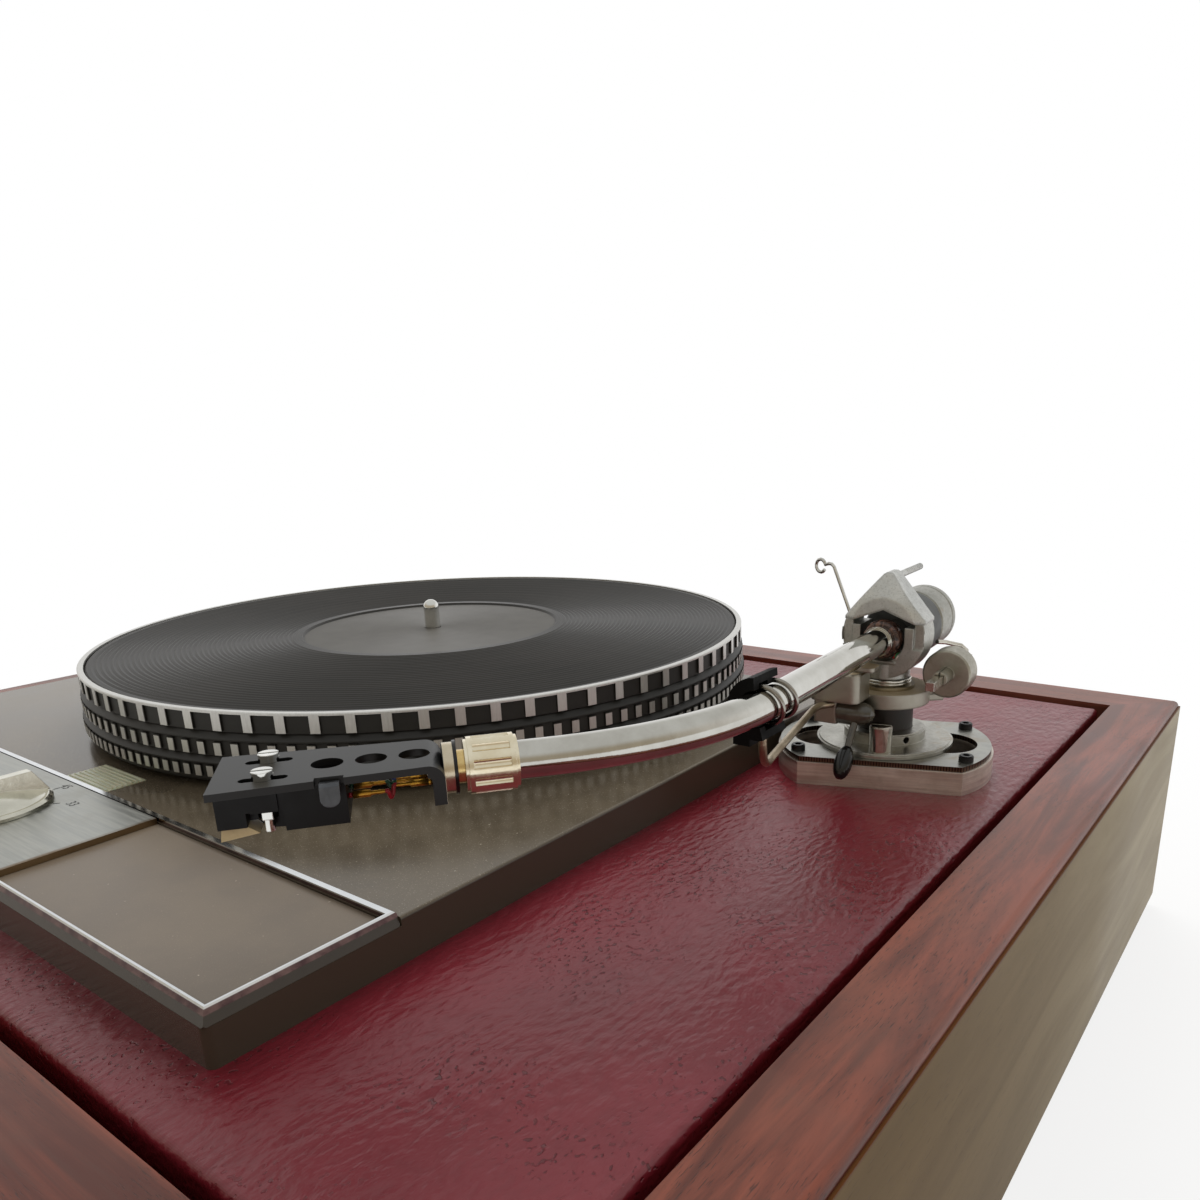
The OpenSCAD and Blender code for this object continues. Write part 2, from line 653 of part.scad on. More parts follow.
// Flanged bearing under the deck, closed by a thrust cap
module bearing_housing() color("#6f6f6c") at_spindle() {
  rotate_extrude() polygon([
    [0, -bearing_depth - 7], [bearing_r + 8, -bearing_depth - 7], [bearing_r + 8, -bearing_depth - seat],
    [bearing_r + 6, -bearing_depth - seat], [bearing_r + 6, deck_under - 5],
    [bearing_r + 22, deck_under - 5], [bearing_r + 22, deck_under], [bearing_r + 6, deck_under],
    [bearing_r + 6, hub_low - 1], [bearing_r + run_gap, hub_low - 1],
    [bearing_r + run_gap, -bearing_depth - seat], [0, -bearing_depth - seat]
  ]);
  for (a = [0, 120, 240]) rotate(a) translate([bearing_r + 16, 0, deck_under - 9]) cylinder(r = 3.5, h = 5);
}

// Four-pole motor with a spider plate that rests on its springs
module motor_body() color("#4b4b49") at_spindle(motor_top) translate([pulley_at.x, pulley_at.y, 0])
  difference() {
    union() {
      translate([0, 0, -motor_h]) cylinder(r = motor_r - 6, h = motor_h);
      translate([0, 0, -motor_h * 0.72]) cylinder(r = motor_r, h = motor_h * 0.44);
      translate([0, 0, -motor_h - 3]) linear_extrude(3) spider();
    }
    translate([0, 0, -motor_h - 4]) cylinder(r = 3.2 + run_gap, h = motor_h + 8);
  }

module spider() {
  circle(motor_r - 4);
  for (a = [0, 120, 240]) rotate(a + pulley_dir) {
    translate([(motor_r + 10) / 2, 0]) square([motor_r + 10, 14], center = true);
    translate([motor_r + 10, 0]) circle(9);
  }
}

// Springs and hanger posts that carry the motor below the deck
module motor_springs() at_spindle() translate([pulley_at.x, pulley_at.y, 0])
  for (a = [0, 120, 240]) rotate(a + pulley_dir) translate([motor_r + 10, 0, 0]) {
    low = motor_top - motor_h - 3;
    turns = 5;
    spring = 12;
    color("#8a8a86") translate([0, 0, low - spring - 0.8]) {
      cylinder(r = 8, h = 1.6);
      cylinder(r = 2.5, h = spring - 0.4);
    }
    color("#8a8a86") wire([for (i = [0 : turns * 12]) let (t = i / (turns * 12))
      concat(polar(5.5, 360 * turns * t), mix(low - spring + 1.7, low - 0.9, t))], 0.7, 6, [0, 0, 1]);
    color("#8a8a86") for (j = [-1, 1]) translate([0, j * 11, low - spring - 0.8])
      cylinder(r = 1.6, h = deck_under - low + spring + 0.8);
    color("#8a8a86") translate([0, 0, low - spring]) cube([5, 25, 1.6], center = true);
  }

// Motor shaft with the three-step pulley and the brake disc
module motor_rotor() color("#c9a45c") at_spindle() translate([pulley_at.x, pulley_at.y, 0]) {
  translate([0, 0, brake_z]) cylinder(r = 3.2, h = 15 - brake_z);
  translate([0, 0, 15.4]) cylinder(r = pulley_r_fast, h = step_h);
  translate([0, 0, 15.4 + step_h]) cylinder(r = pulley_r, h = step_h);
  translate([0, 0, 15.4 + 2 * step_h]) cylinder(r = pulley_r_slow, h = web_low - 1.5 - 15.4 - 2 * step_h);
  translate([0, 0, 14]) cylinder(r = 3.2, h = 2);
  translate([0, 0, brake_z]) cylinder(r = brake_r, h = 1.6);
}

// Magnet with two poles around the brake disc, on a bracket from the base panel
module brake_magnet() color("#8c2f28") at_spindle() translate([pulley_at.x, pulley_at.y, 0])
  rotate(pulley_dir - 60) {
    translate([brake_r - 8, -9, brake_z + 2.4]) cube([18, 18, 4]);
    translate([brake_r - 8, -9, brake_z - 4.8]) cube([18, 18, 4]);
    translate([brake_r + 4, -9, brake_z - 4.8]) cube([6, 18, 11.2]);
    translate([brake_r + 5, -6, foot_h + base_t - leather_z])
      cube([4, 12, brake_z - 4.8 - foot_h - base_t + leather_z]);
  }

// Arm that draws the idler away from the rim and the pulley
module idler_arm() color("#9a9a96") at_spindle() translate([idler_pivot.x, idler_pivot.y, 0]) {
  translate([0, 0, deck_under - 6]) cylinder(r = 4, h = 16.4 - deck_under + 6);
  translate([0, 0, deck_under - 6]) cylinder(r = 7, h = 5.8);
  translate([0, 0, 14.4]) linear_extrude(2) rotate(pivot_dir + 180 - idler_back) {
    translate([idler_arm_l / 2, 0]) square([idler_arm_l, 9], center = true);
    circle(8);
    translate([idler_arm_l, 0]) circle(7);
  }
  rotate(pivot_dir + 180 - idler_back) translate([idler_arm_l, 0, 15]) cylinder(r = 2, h = 13);
}

module at_idler(z) at_spindle(z) translate([idler_at.x, idler_at.y, 0]) children();

// Disc wheel with a rubber tyre moulded on
module idler_wheel() color("#3a3a3a") at_idler(tyre_z) difference() {
  union() {
    cylinder(r = idler_r - 4, h = tyre_t - 1);
    translate([0, 0, -3.5]) cylinder(r = 6, h = 9.5);
    rotate_extrude() translate([idler_r - 5, 0]) square([5, tyre_t]);
  }
  translate([0, 0, -5]) cylinder(r = 2 + run_gap, h = 14);
  for (k = [0 : 4]) rotate(k * 72) translate([16, 0, -1]) cylinder(r = 5, h = 6);
}

module mains_switch() color("#2a2624") at_spindle(deck_under) translate([power_x + 24, knob_y, 0]) {
  translate([-12, -4, -16]) cube([24, 28, 16]);
  translate([-13.4, -2.5, -9]) cube([2, 5, 4]);
}

module bed_outline(inset) intersection() {
  circle(bed_r - inset);
  square([2 * bed_r, 2 * (bed_half - inset)], center = true);
}

module bed_cut(h) {
  translate([0, 0, -eps]) linear_extrude(h + 2 * eps) stadium(bed_r - slot_r - 6, slot_r);
  four(bed_screw_x, bed_screw_y) translate([0, 0, -eps]) cylinder(r = 1.9, h = h + 2 * eps);
}

module arm_spacer() color("#b5aca2") at_bed() difference() {
  linear_extrude(spacer_h) bed_outline(0);
  bed_cut(spacer_h);
}

module bed_plate() color("#a9adad") at_bed(spacer_h) difference() {
  linear_extrude(bed_t) bed_outline(0.8);
  bed_cut(bed_t);
}

module bed_screws() color("#222222") at_bed(bed_top) four(bed_screw_x, bed_screw_y) difference() {
  union() {
    cylinder(r = 2.7, h = 2);
    translate([0, 0, -24]) cylinder(r = 1.8, h = 25);
    cylinder(r = 2.3, h = 2.4);
  }
  translate([0, 0, 0.8]) cylinder(r = 1.45, h = 3, $fn = 6);
}

// Sliding foot of the arm: flange, clamping collar and stem through the slot
module arm_base() color("#adb0af") at_pillar() difference() {
  union() {
    translate([0, 0, flange_z]) cylinder(r = flange_r, h = flange_t - 0.5);
    translate([0, 0, flange_z]) cylinder(r = flange_r - 0.9, h = flange_t);
    translate([0, 0, flange_z]) cylinder(r = collar_r, h = flange_t + collar_h - 0.5);
    translate([0, 0, flange_z]) cylinder(r = collar_r - 0.8, h = flange_t + collar_h);
    translate([0, 0, pillar_low]) cylinder(r = slot_r - 0.5, h = flange_z - pillar_low + 1);
  }
  translate([0, 0, pillar_low - eps]) cylinder(r = pillar_r + run_gap, h = cut);
  rotate(325) translate([pillar_r, 0, collar_z + collar_h / 2]) along_x(1.3, 10);
}

// Slotted clamping screw on the flange
module clamp_screw() color("#c9c9c6") at_pillar(collar_z) translate(clamp_at) difference() {
  union() {
    cylinder(r = 4.2, h = 9.6);
    cylinder(r = 3.8, h = 10);
  }
  rotate(15) translate([-5, -0.5, 8.7]) cube([10, 1, 3]);
}

module pillar() color("#1f1d1c") at_pillar() {
  translate([0, 0, pillar_low]) cylinder(r = pillar_r, h = bracket_z + bracket_h - pillar_low + 1.2);
}

// Bright bearing race on top of the pillar
module bearing_race() color("#c2c2bd") at_pillar(race_z) {
  rotate_extrude() polygon([
    [0, 0], [race_r - 0.9, 0], [race_r - 0.9, 0.4], [race_r - 0.2, 0.4], [race_r, 0.6], [race_r, 1],
    [race_r - 0.2, 1.2], [race_r - 0.9, 1.2], [race_r - 0.9, 1.5], [race_r - 0.2, 1.5], [race_r, 1.7],
    [race_r, 2.1], [race_r - 0.3, 2.4], [6, 2.4], [6, 1.6], [0, 1.6]
  ]);
}

// Clamp around the pillar with the damped lift beside it
module lift_bracket() color("#9c978d") at_arm() difference() {
  union() {
    translate([0, 0, bracket_z]) linear_extrude(bracket_h) {
      circle(16.4);
      polygon([[0, -8], [lift_u + 3, lift_v - 1.5], [lift_u + 3, lift_v - 9], [0, -16]]);
    }
    translate([0, 0, bracket_z]) rotate(130) linear_extrude(2.6) translate([10, -7]) square([10.5, 14]);
    translate([lift_u, lift_v, lift_z]) soft_slab(15, 19, block_top - lift_z, 3, 1.2);
    translate([lift_u - 1.5, lift_v - 4.5, lever_z - 4.5]) linear_extrude(9.4) rounded_rect(10, 9.6, 1.2);
  }
  translate([0, 0, bracket_z - eps]) cylinder(r = pillar_r + run_gap, h = bracket_h + 2 * eps);
  translate(polar(13.5, guide_a)) translate([0, 0, bracket_z + bracket_h - 2.5]) cylinder(r = 0.75, h = 4);
  translate([lift_u, lift_v + 2, lift_z + 0.6]) cylinder(r = 2.5 + run_gap, h = 40);
  translate([lift_u, lift_v - 8, lever_z]) along_y(2 + run_gap, 9);
}

// Platform that lifts the tube, on the lift's piston
module lift_rail() color("#b7b4ab") at_arm() {
  translate([lift_u, lift_v + 2, lift_z + 0.9]) cylinder(r = 2.5, h = lift_top - lift_z - 1.5);
  translate([lift_u, lift_v + 5.5, lift_top - rail_t]) linear_extrude(rail_t) rounded_rect(8, 17, 2);
}

// Bullet-shaped hub and rod that work the lift
module lift_lever() color("#a59c8b") at_arm() translate([lift_u, lift_v + 0.5, lever_z]) {
  rotate([-90, 0, 0]) rotate_extrude() polygon(concat([[0, 0], [4.9, 0]],
    [for (i = [0 : 10]) let (t = i / 10) [4.9 * sqrt(1 - pow(t, 2.4)), 3 + 10.5 * t]]));
  translate([0, -8, 0]) along_y(2, 9);
  translate([0, 6.5, 0]) rotate([0, lever_a, 0]) cylinder(r1 = 1.5, r2 = 1.2, h = 17);
}

module lever_grip() color("#17181a") at_arm() translate([lift_u, lift_v + 7, lever_z]) rotate([0, lever_a, 0])
  translate([0, 0, 14]) rotate_extrude() polygon(concat([[1.45, 0]],
    [for (i = [1 : 12]) let (t = i / 12) [3.4 * sqrt(1 - pow(abs(1.86 * t - 0.93), 2.2)), 12.5 * t]],
    [[0, 12.5], [0, 3.2], [1.25, 3.2]]));

// Bent rod that carries the rest below the tube
module rest_rod() color("#b9ab97") at_arm(rest_z) {
  p0 = [lift_u + 4.4, lift_v - 1.1, 2.3];
  p1 = [lift_u + 10, lift_v - 5.4, 2.3];
  p2 = [rest_u - 18.5, -8, 0];
  p3 = [rest_u - 6.4, -4.8, 0.4];
  p4 = [rest_u - 6.2, -4.6, 11];
  wire(concat([p0], bend_path([mix(p0, p1, 0.5), p1, mix(p1, p2, 0.15)], 8),
    bend_path([p2, p3, p4], 12), [p4 + [0, 0, 5]]), 1.35, 14, [0, 1, 0.2]);
}

// A place on the bend of the tube, at a length along its axis from the pivot
module at_bend(l) let (a = (l - tube_straight) / bend_r * 180 / PI) at_arm(tube_z)
  translate([tube_straight + bend_r * sin(a), bend_r * (cos(a) - 1), 0]) rotate(-a) children();

// Snap-in cradle that closes around the lower and left side of the tube
module rest_cradle() color("#18181a") difference() {
  at_bend(rest_u) extrude_x_centred(14.4) difference() {
    union() {
      intersection() {
        circle(9.4);
        polygon([[0, 0], [4, -14], [-14, -14], [-14, 14], [-1, 14]]);
      }
      translate([-7.4, -11.6]) square([5.6, 6]);
    }
    circle(tube_r + 2 * touch_gap);
  }
  for (l = clip_at) at_bend(l) translate([-2.6, 0, 0]) along_x(tube_r + 2.1, 5.2);
  at_arm(tube_z) translate([rest_u - 6.2, -4.6, -13]) cylinder(r = 1.4, h = 5);
}

// Two turns of spring wire that keep the tube in the cradle
module rest_clip() color("#c8c2b8") for (l = clip_at) at_bend(l)
  rotate([0, 104, 0]) rotate_extrude() translate([tube_r + 1.2, 0]) circle(0.75);

// Thin wire guide with an eye for the bias thread
module thread_guide() color("#cdc8bd") at_arm() {
  base = bracket_z + bracket_h;
  climb = [[13.5, -2.4], [13.5, 0.4], [14.6, 2.6], [18.4, 4.4], [20.6, 7.4], [20.3, 15], [20.6, 25.6], [30, 42.6],
    [31.2, 43.5], [33, 43.6]];
  eye = [for (k = [0 : 12]) let (e = 165 - k * 26) [37.4 + cos(e) * eye_r, 42.3 + sin(e) * eye_r]];
  wire([for (q = concat(climb, eye)) concat(polar(q.x, guide_a), base + q.y)], 0.7, 10,
    concat(polar(1, guide_a + 90), 0));
}

// Cup that turns on the race, with the knife-edge bearing inside
module yoke() color("#9fa2a3") at_arm() {
  difference() {
    union() {
      translate([yoke_back, 0, 0]) extrude_x(yoke_front - yoke_back) intersection() {
        translate([0, yoke_mid]) circle(yoke_r);
        translate([-yoke_r, yoke_low - 1]) square([2 * yoke_r, hood_low - yoke_low + 1]);
      }
      translate([0, 0, yoke_low - 0.3]) cylinder(r = race_r - 0.6, h = 6);
    }
    translate([yoke_back - eps, 0, 0]) extrude_x(cut) {
      translate([0, tube_z]) circle(slot_half);
      translate([-slot_half, tube_z]) square([2 * slot_half, 40]);
      translate([-12, tube_z + 5]) square([24, 40]);
    }
    translate([yoke_back - 20, -20, yoke_low - 0.1]) cube([20, 40, 20]);
    translate([yoke_front - 1.2, 0, 0]) extrude_x(5) for (i = [-1, 1])
      translate([i * 13.9 - 1.9, tube_z - 3]) square([3.8, 40]);
  }
  translate([-4, -8.4, tube_z - 9.2]) cube([8, 16.8, 2.3]);
  translate([-4, -5.6, tube_z - 9.1]) cube([yoke_front + 4.6, 11.2, 1]);
  extrude_y(15) polygon([[-2, tube_z - 7], [2, tube_z - 7], [0, tube_z - tube_r - 0.2]]);
}

// Roof-shaped hood over the bearing, with the bias rod behind it
module hood() {
  hood_shell();
  bias_rod();
}

module hood_shell() color("#a7aaab") at_arm() difference() {
  intersection() {
    translate([yoke_back, 0, 0]) extrude_x(yoke_front - yoke_back) polygon([
      [-15.6, hood_low], [15.6, hood_low], [15.6, hood_low + 1.2], [2, hood_top - 0.7], [0.9, hood_top],
      [-0.9, hood_top], [-2, hood_top - 0.7], [-15.6, hood_low + 1.2]
    ]);
    translate([yoke_front, 0, face_z]) rotate([0, -90, 0])
      cylinder(r1 = face_r, r2 = face_r + face_slope * (yoke_front - yoke_back), h = yoke_front - yoke_back);
  }
  translate([yoke_back - eps, 0, 0]) extrude_x(cut)
    polygon([[-12, hood_low - eps], [12, hood_low - eps], [12, hood_low], [0, hood_low + 4.6], [-12, hood_low]]);
}

// Notched rod for the bias thread
module bias_rod() color("#bdb8ac") at_arm(hood_top - 2.6) translate([yoke_back + 3, 0, 0]) rotate([0, -90, 0])
  rotate_extrude() polygon(concat([[0, 0], [1.3, 0]], [for (i = [0 : 9]) each [[1.3, 12 + i * 2], [1.3, 13 + i * 2],
    [1, 13.3 + i * 2], [1, 13.7 + i * 2]]], [[1.3, 32], [0.9, 32.5], [0, 32.5]]));

// Curved arm tube with its tail behind the pivot
module arm_tube() color("#d4d4cf") {
  at_arm(tube_z) translate([tail_end, 0, 0]) extrude_x(tube_straight - tail_end - seam) tube_section();
  at_arm(tube_z) translate([tube_straight, -bend_r, 0]) rotate(90 - bend_a)
    rotate_extrude(angle = bend_a) translate([bend_r, 0]) tube_section();
  at_shell(tube_z) translate([seam, 0, 0]) extrude_x(shell_rear - lock_l + 1) tube_section();
  at_arm(tube_z) translate([7.2, 0, 0]) extrude_x(6) difference() {
    circle(tube_r + 0.7);
    circle(tube_r + seam);
  }
}

module tube_section() difference() {
  circle(tube_r);
  circle(tube_r - tube_wall);
}

// Brown resin ring in the mouth of the yoke
module tube_ferrule() color("#4d3a33") at_arm(tube_z) translate([2.4, 0, 0]) extrude_x(4.6) difference() {
  circle(tube_r + 1.5);
  circle(tube_r + 0.02);
}

// Fluted collar that locks the headshell, and the socket inside it
module locking_collar() color("#cfcbbd") at_shell(tube_z) {
  translate([shell_rear - 5 - lock_l, 0, 0]) difference() {
    union() {
      extrude_x(lock_l) circle(lock_r - 0.6);
      translate([0.8, 0, 0]) extrude_x(lock_l - 1.6) circle(lock_r);
    }
    for (k = [0 : 9]) rotate([k * 36, 0, 0]) translate([2, 0, lock_r + 0.5]) along_x(1.3, lock_l - 4);
    translate([-eps, 0, 0]) along_x(tube_r + run_gap, lock_l - 3);
  }
}

// Half-width of the headshell at a distance from its rear wall
function shell_half(t) = mix(shell_w_rear, shell_w_front, t / shell_l) / 2;

// Pressed headshell with lightening holes, screw slots and its plug
module headshell() color("#1b1b1d") at_shell() {
  difference() {
    translate([shell_rear, 0, shell_top - shell_wall_h]) intersection() {
      linear_extrude(shell_wall_h) polygon([[0, -shell_half(0)], [shell_l, -shell_half(shell_l)],
        [shell_l, shell_half(shell_l)], [0, shell_half(0)]]);
      extrude_y(60) difference() {
        union() {
          translate([4, shell_wall_h - shell_t]) square([shell_l, shell_t]);
          square([shell_wall_t, shell_wall_h - 4]);
          translate([4, shell_wall_h - 4]) intersection() {
            circle(4);
            translate([-4, 0]) square(4);
          }
        }
        translate([4, shell_wall_h - 4]) circle(4 - shell_wall_t);
        translate([shell_wall_t, 0]) square([4 - shell_wall_t, shell_wall_h - 4]);
      }
    }
    for (t = [6.6, 16.6, 26.6]) translate([shell_rear + t, 0, shell_top - 3]) cylinder(r = shell_hole_r, h = 4);
    for (i = [-1, 1]) translate([screw_t, i * screw_pitch / 2, shell_top - 3]) linear_extrude(4) stadium(4, 1.35);
    translate([shell_rear + 22.5, shell_half(24) - 1.8, shell_top - 3]) cube([6.4, 6, 4]);
  }
  translate([shell_rear - 2.4, 0, tube_z]) along_x(6.3, 2.6);
  translate([shell_rear - 4.95, 0, tube_z]) along_x(4.2, 4);
  translate([shell_rear - 3.2, 0, tube_z]) along_x(6.7, 0.8);
}

// Tongue for lifting the arm by hand
module finger_lift() color("#6d6e70") at_shell() translate([shell_rear + 25.7, shell_half(24) - 1.7, 0])
  intersection() {
    extrude_x_centred(8) translate([0, body_top]) polygon([[-1.3, -0.1], [0.1, -0.1], [0.1, 0.9], [2.1, 0.9],
      [2.9, 0.3], [3.7, -4.4], [2.8, -4.4], [2, -0.5], [1.5, -1.1], [-1.3, -1.1]]);
    extrude_y(20) translate([0, body_top + 0.2]) rounded_rect(4.4, 9, 2);
  }

// Two screws with nuts that hold the cartridge
module shell_screws() color("#c7c7c2") at_shell() for (i = [-1, 1])
  translate([screw_t, i * screw_pitch / 2, shell_top]) {
    difference() {
      cylinder(r = 2.4, h = 2.1);
      translate([-4, -0.4, 1.2]) cube([8, 0.8, 2]);
    }
    translate([0, 0, -12.6]) cylinder(r = 1.2, h = 13);
    translate([0, 0, -9.4]) cylinder(r = 2.2, h = 1.9, $fn = 6);
  }

// Cartridge body with its mounting ears
module cartridge() color("#0d0d0e") at_shell() difference() {
  union() {
    translate([shell_rear + shell_l - 29, -8.4, body_top - 10.6]) cube([14, 16.8, 10.5]);
    translate([shell_rear + shell_l - 29, -8.4, body_top - 8.8]) cube([28.4, 16.8, 8.7]);
    translate([screw_t - 2.6, -9.2, body_top - 5.4]) cube([6, 18.4, 5.3]);
    extrude_shell(13) polygon([[-28, -7.5], [-7.4, -7.5], [-10.6, -11], [-15, -11.4], [-20, -9.4]]);
  }
  for (i = [-1, 1]) translate([screw_t, i * screw_pitch / 2, body_top - 20]) cylinder(r = 1.3, h = 30);
  for (i = [-1, 1]) translate([screw_t - 3.5, i * 7.4 - 3.6, body_top - 20]) cube([8, 7.2, 14.6]);
}

// A side profile measured back from the front of the headshell and down from the body's top
module extrude_shell(w) translate([shell_rear + shell_l, 0, body_top]) extrude_y(w) children();

module stylus_guard() color("#c7b48c") at_shell() {
  drop = body_top - guard_low;
  extrude_shell(12) polygon([[-1, -8.9], [-0.4, -drop], [-9, -drop + 1.2], [-6.2, -9.3], [-5.9, -8.9]]);
}

// Four short leads from the cartridge pins to the plug
module lead_wires() at_shell() {
  pins = [[-5, -2.2], [-1.7, -5.2], [1.7, -2.2], [5, -5.2]];
  tones = ["#b03040", "#2f4f9a", "#2f6b4a", "#d8d2c0"];
  x0 = shell_rear + shell_l - 29;
  x1 = shell_rear + shell_wall_t;
  for (i = [0 : 3]) {
    a = [x0, pins[i].x, body_top + pins[i].y];
    b = [x1, pins[i].x * 0.55, tube_z - 1.2 + (i % 2) * 2.6 - 1.3];
    color("#b98a3a") wire([a - [0.05, 0, 0], a - [6, 0, 0]], 0.95, 8, [0, 0, 1]);
    color("#b98a3a") wire([b + [6, 0, 0], b + [0.05, 0, 0]], 0.9, 8, [0, 0, 1]);
    color(tones[i]) wire([for (k = [0 : 8]) let (t = k / 8)
      mix(a - [5.5, 0, 0], b + [5.5, 0, 0], t) + [0, (i - 1.5) * 0.9 * sin(180 * t), -1.1 * sin(180 * t)]],
      0.55, 7, [0, 0, 1]);
  }
}

// Soft coupling between the tube's tail and the counterweight
module decoupler() color("#6a6c6e") at_arm(tube_z) translate([soft_front, 0, 0]) rotate([0, -90, 0])
  rotate_extrude() polygon([[tube_r + 0.02, 0], [weight_r - 0.9, 0], [weight_r - 0.1, 0.8],
    [weight_r - 0.1, soft_l - 0.6], [weight_r - 0.7, soft_l], [tube_r + 0.02, soft_l]]);

// Ringed counterweight
module counterweight() color("#b6b6b1") at_arm(tube_z) {
  translate([weight_u, 0, 0]) rotate([0, -90, 0]) rotate_extrude() polygon([
    [tube_r + run_gap, 0], [weight_r - 0.9, 0], [weight_r, 0.9], [weight_r, weight_l - 8], [weight_r - 0.7, weight_l - 7.5],
    [weight_r - 0.7, weight_l - 6.9], [weight_r - 0.1, weight_l - 6.5], [weight_r - 0.1, weight_l - 3.4],
    [weight_r - 0.8, weight_l - 3], [weight_r - 0.8, weight_l - 1.6], [weight_r - 2.4, weight_l],
    [0, weight_l], [0, weight_l - 2], [tube_r + run_gap, weight_l - 2]
  ]);
}

// Square rod beside the tube for the rider weight, on a bent wire from the coupling
module rider_rod() color("#c3bfae") at_arm(rider_z) {
  translate([tail_u, rider_v - 1.6, -1.6]) cube([rider_l, 3.2, 3.2]);
  wire([[soft_front - 6.5, 14.6, 8.7], [soft_front - 11, 16.6, 7.8], [tail_u + 4, rider_v - 2, 5.6],
    [tail_u + 2, rider_v - 0.3, 3.4], [tail_u + 2, rider_v, 1]], 0.9, 12, [1, 0, 0]);
}

module rider_weight() color("#b3b1a9") at_arm(rider_z) translate([-9, rider_v, 0]) difference() {
  union() {
    rotate([0, 90, 0]) rotate_extrude() polygon([
      [0, 0], [rider_r - 0.8, 0], [rider_r, 0.8], [rider_r, 9.4], [rider_r - 0.6, 10], [0, 10]
    ]);
    translate([9, 0, 0]) along_x(2.9, 10);
  }
  translate([-1, -1.7, -1.7]) cube([30, 3.4, 3.4]);
  translate([10, -0.25, 1]) cube([12, 0.5, 5]);
}

plinth_front();
plinth_back();
plinth_left();
plinth_right();
side_veneers();
base_board();
corner_blocks();
rubber_feet();
top_board();
leather_cover();
deck_plate();
panel_trim();
control_plate();
blank_plate();
strobe_window();
strobe_lamp();
speed_knob();
power_knob();
fine_knob();
platter();
platter_mat();
spindle();
bearing_housing();
motor_body();
motor_springs();
motor_rotor();
brake_magnet();
idler_arm();
idler_wheel();
mains_switch();
arm_spacer();
bed_plate();
bed_screws();
arm_base();
clamp_screw();
pillar();
bearing_race();
lift_bracket();
lift_rail();
lift_lever();
lever_grip();
rest_rod();
rest_cradle();
rest_clip();
thread_guide();
yoke();
hood();
arm_tube();
tube_ferrule();
locking_collar();
headshell();
finger_lift();
shell_screws();
cartridge();
stylus_guard();
lead_wires();
decoupler();
counterweight();
rider_rod();
rider_weight();
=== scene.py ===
"""Looks, light and camera for a record turntable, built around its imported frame."""

import json
import math

import bmesh
import bpy
from mathutils import Matrix, Vector


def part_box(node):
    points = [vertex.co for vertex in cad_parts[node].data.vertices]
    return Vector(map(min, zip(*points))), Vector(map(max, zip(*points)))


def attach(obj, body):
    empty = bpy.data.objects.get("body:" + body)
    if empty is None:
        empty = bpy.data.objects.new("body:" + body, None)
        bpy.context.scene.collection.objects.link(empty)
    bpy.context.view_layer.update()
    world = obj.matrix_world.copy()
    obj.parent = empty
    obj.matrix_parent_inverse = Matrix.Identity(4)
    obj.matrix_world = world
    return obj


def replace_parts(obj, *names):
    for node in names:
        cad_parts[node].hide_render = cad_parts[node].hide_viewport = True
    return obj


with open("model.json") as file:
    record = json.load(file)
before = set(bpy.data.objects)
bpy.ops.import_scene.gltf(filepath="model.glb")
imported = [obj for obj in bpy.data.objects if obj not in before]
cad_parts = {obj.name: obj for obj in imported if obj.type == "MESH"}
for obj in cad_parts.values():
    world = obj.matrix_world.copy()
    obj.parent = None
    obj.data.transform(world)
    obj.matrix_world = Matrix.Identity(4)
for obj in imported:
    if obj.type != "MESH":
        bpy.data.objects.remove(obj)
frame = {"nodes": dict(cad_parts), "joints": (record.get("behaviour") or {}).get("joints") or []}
NODES = frame["nodes"]
JOINTS = {joint["name"]: joint for joint in frame["joints"]}
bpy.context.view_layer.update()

MM = 0.001
UP = Vector((0, 0, 1))

# Places taken from the frame
SPINDLE = sum(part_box("spindle"), Vector()) / 2
PILLAR = sum(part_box("pillar"), Vector()) / 2
LEATHER_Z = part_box("leather_cover")[1].z
PANEL_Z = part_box("control_plate")[1].z
ARM_RIGHT = -Vector(JOINTS["arm_tilt"]["axis"])
ARM_FRONT = ARM_RIGHT.cross(UP)
SHELL_FRONT = Vector(JOINTS["collar_turn"]["axis"])
SHELL_AT = Vector(JOINTS["collar_turn"]["pos_m"])
BED_ALONG = Vector(JOINTS["base_slide"]["axis"])
SHELL_SIDE = UP.cross(SHELL_FRONT)
PLINTH_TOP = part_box("plinth_right")[1].z

# Camera of the photograph: place, turns in degrees, focal length on a 36 mm sensor, shift of the frame
CAMERA_AT = Vector((0.3283, -0.2621, 0.2384))
CAMERA_HEADING = 36.25
CAMERA_PITCH = -17.97
CAMERA_ROLL = 1.39
CAMERA_FOCAL = 28.43
CAMERA_SHIFT = (-0.0573, 0.1096)

# Strobe rows: radius of the first row's bars, step outward, and the heights between the rows
STROBE_R = 148.5 * MM
STROBE_STEP = 0.7 * MM
STROBE_SPLITS = (LEATHER_Z + 33.6 * MM, LEATHER_Z + 24.4 * MM)
STROBE_LIPS = (LEATHER_Z + 31.6 * MM, LEATHER_Z + 23.1 * MM)
STROBE_FOOT = LEATHER_Z + 17.6 * MM

# Platter's rim: slack below the bars' radius, half-height of a dark lip, depth of the bright top, width
STROBE_SLACK = 0.3 * MM
LIP_HALF = 0.8 * MM
RIM_DEPTH = 0.92 * MM
RIM_WIDTH = 8 * MM

# Mat: radius of the label field, radius of the smooth border, and pitch of the ribs
LABEL_R = 58.5 * MM
BORDER_R = 141.65 * MM
RIB_PITCH = 1.15 * MM

# Arm: height of the pillar's bare head, height of the tube's axis, and pitch of the marks on the bed
HEAD_Z = LEATHER_Z + 27 * MM
TUBE_Z = LEATHER_Z + 52.5 * MM
TICK_PITCH = 1.0 * MM

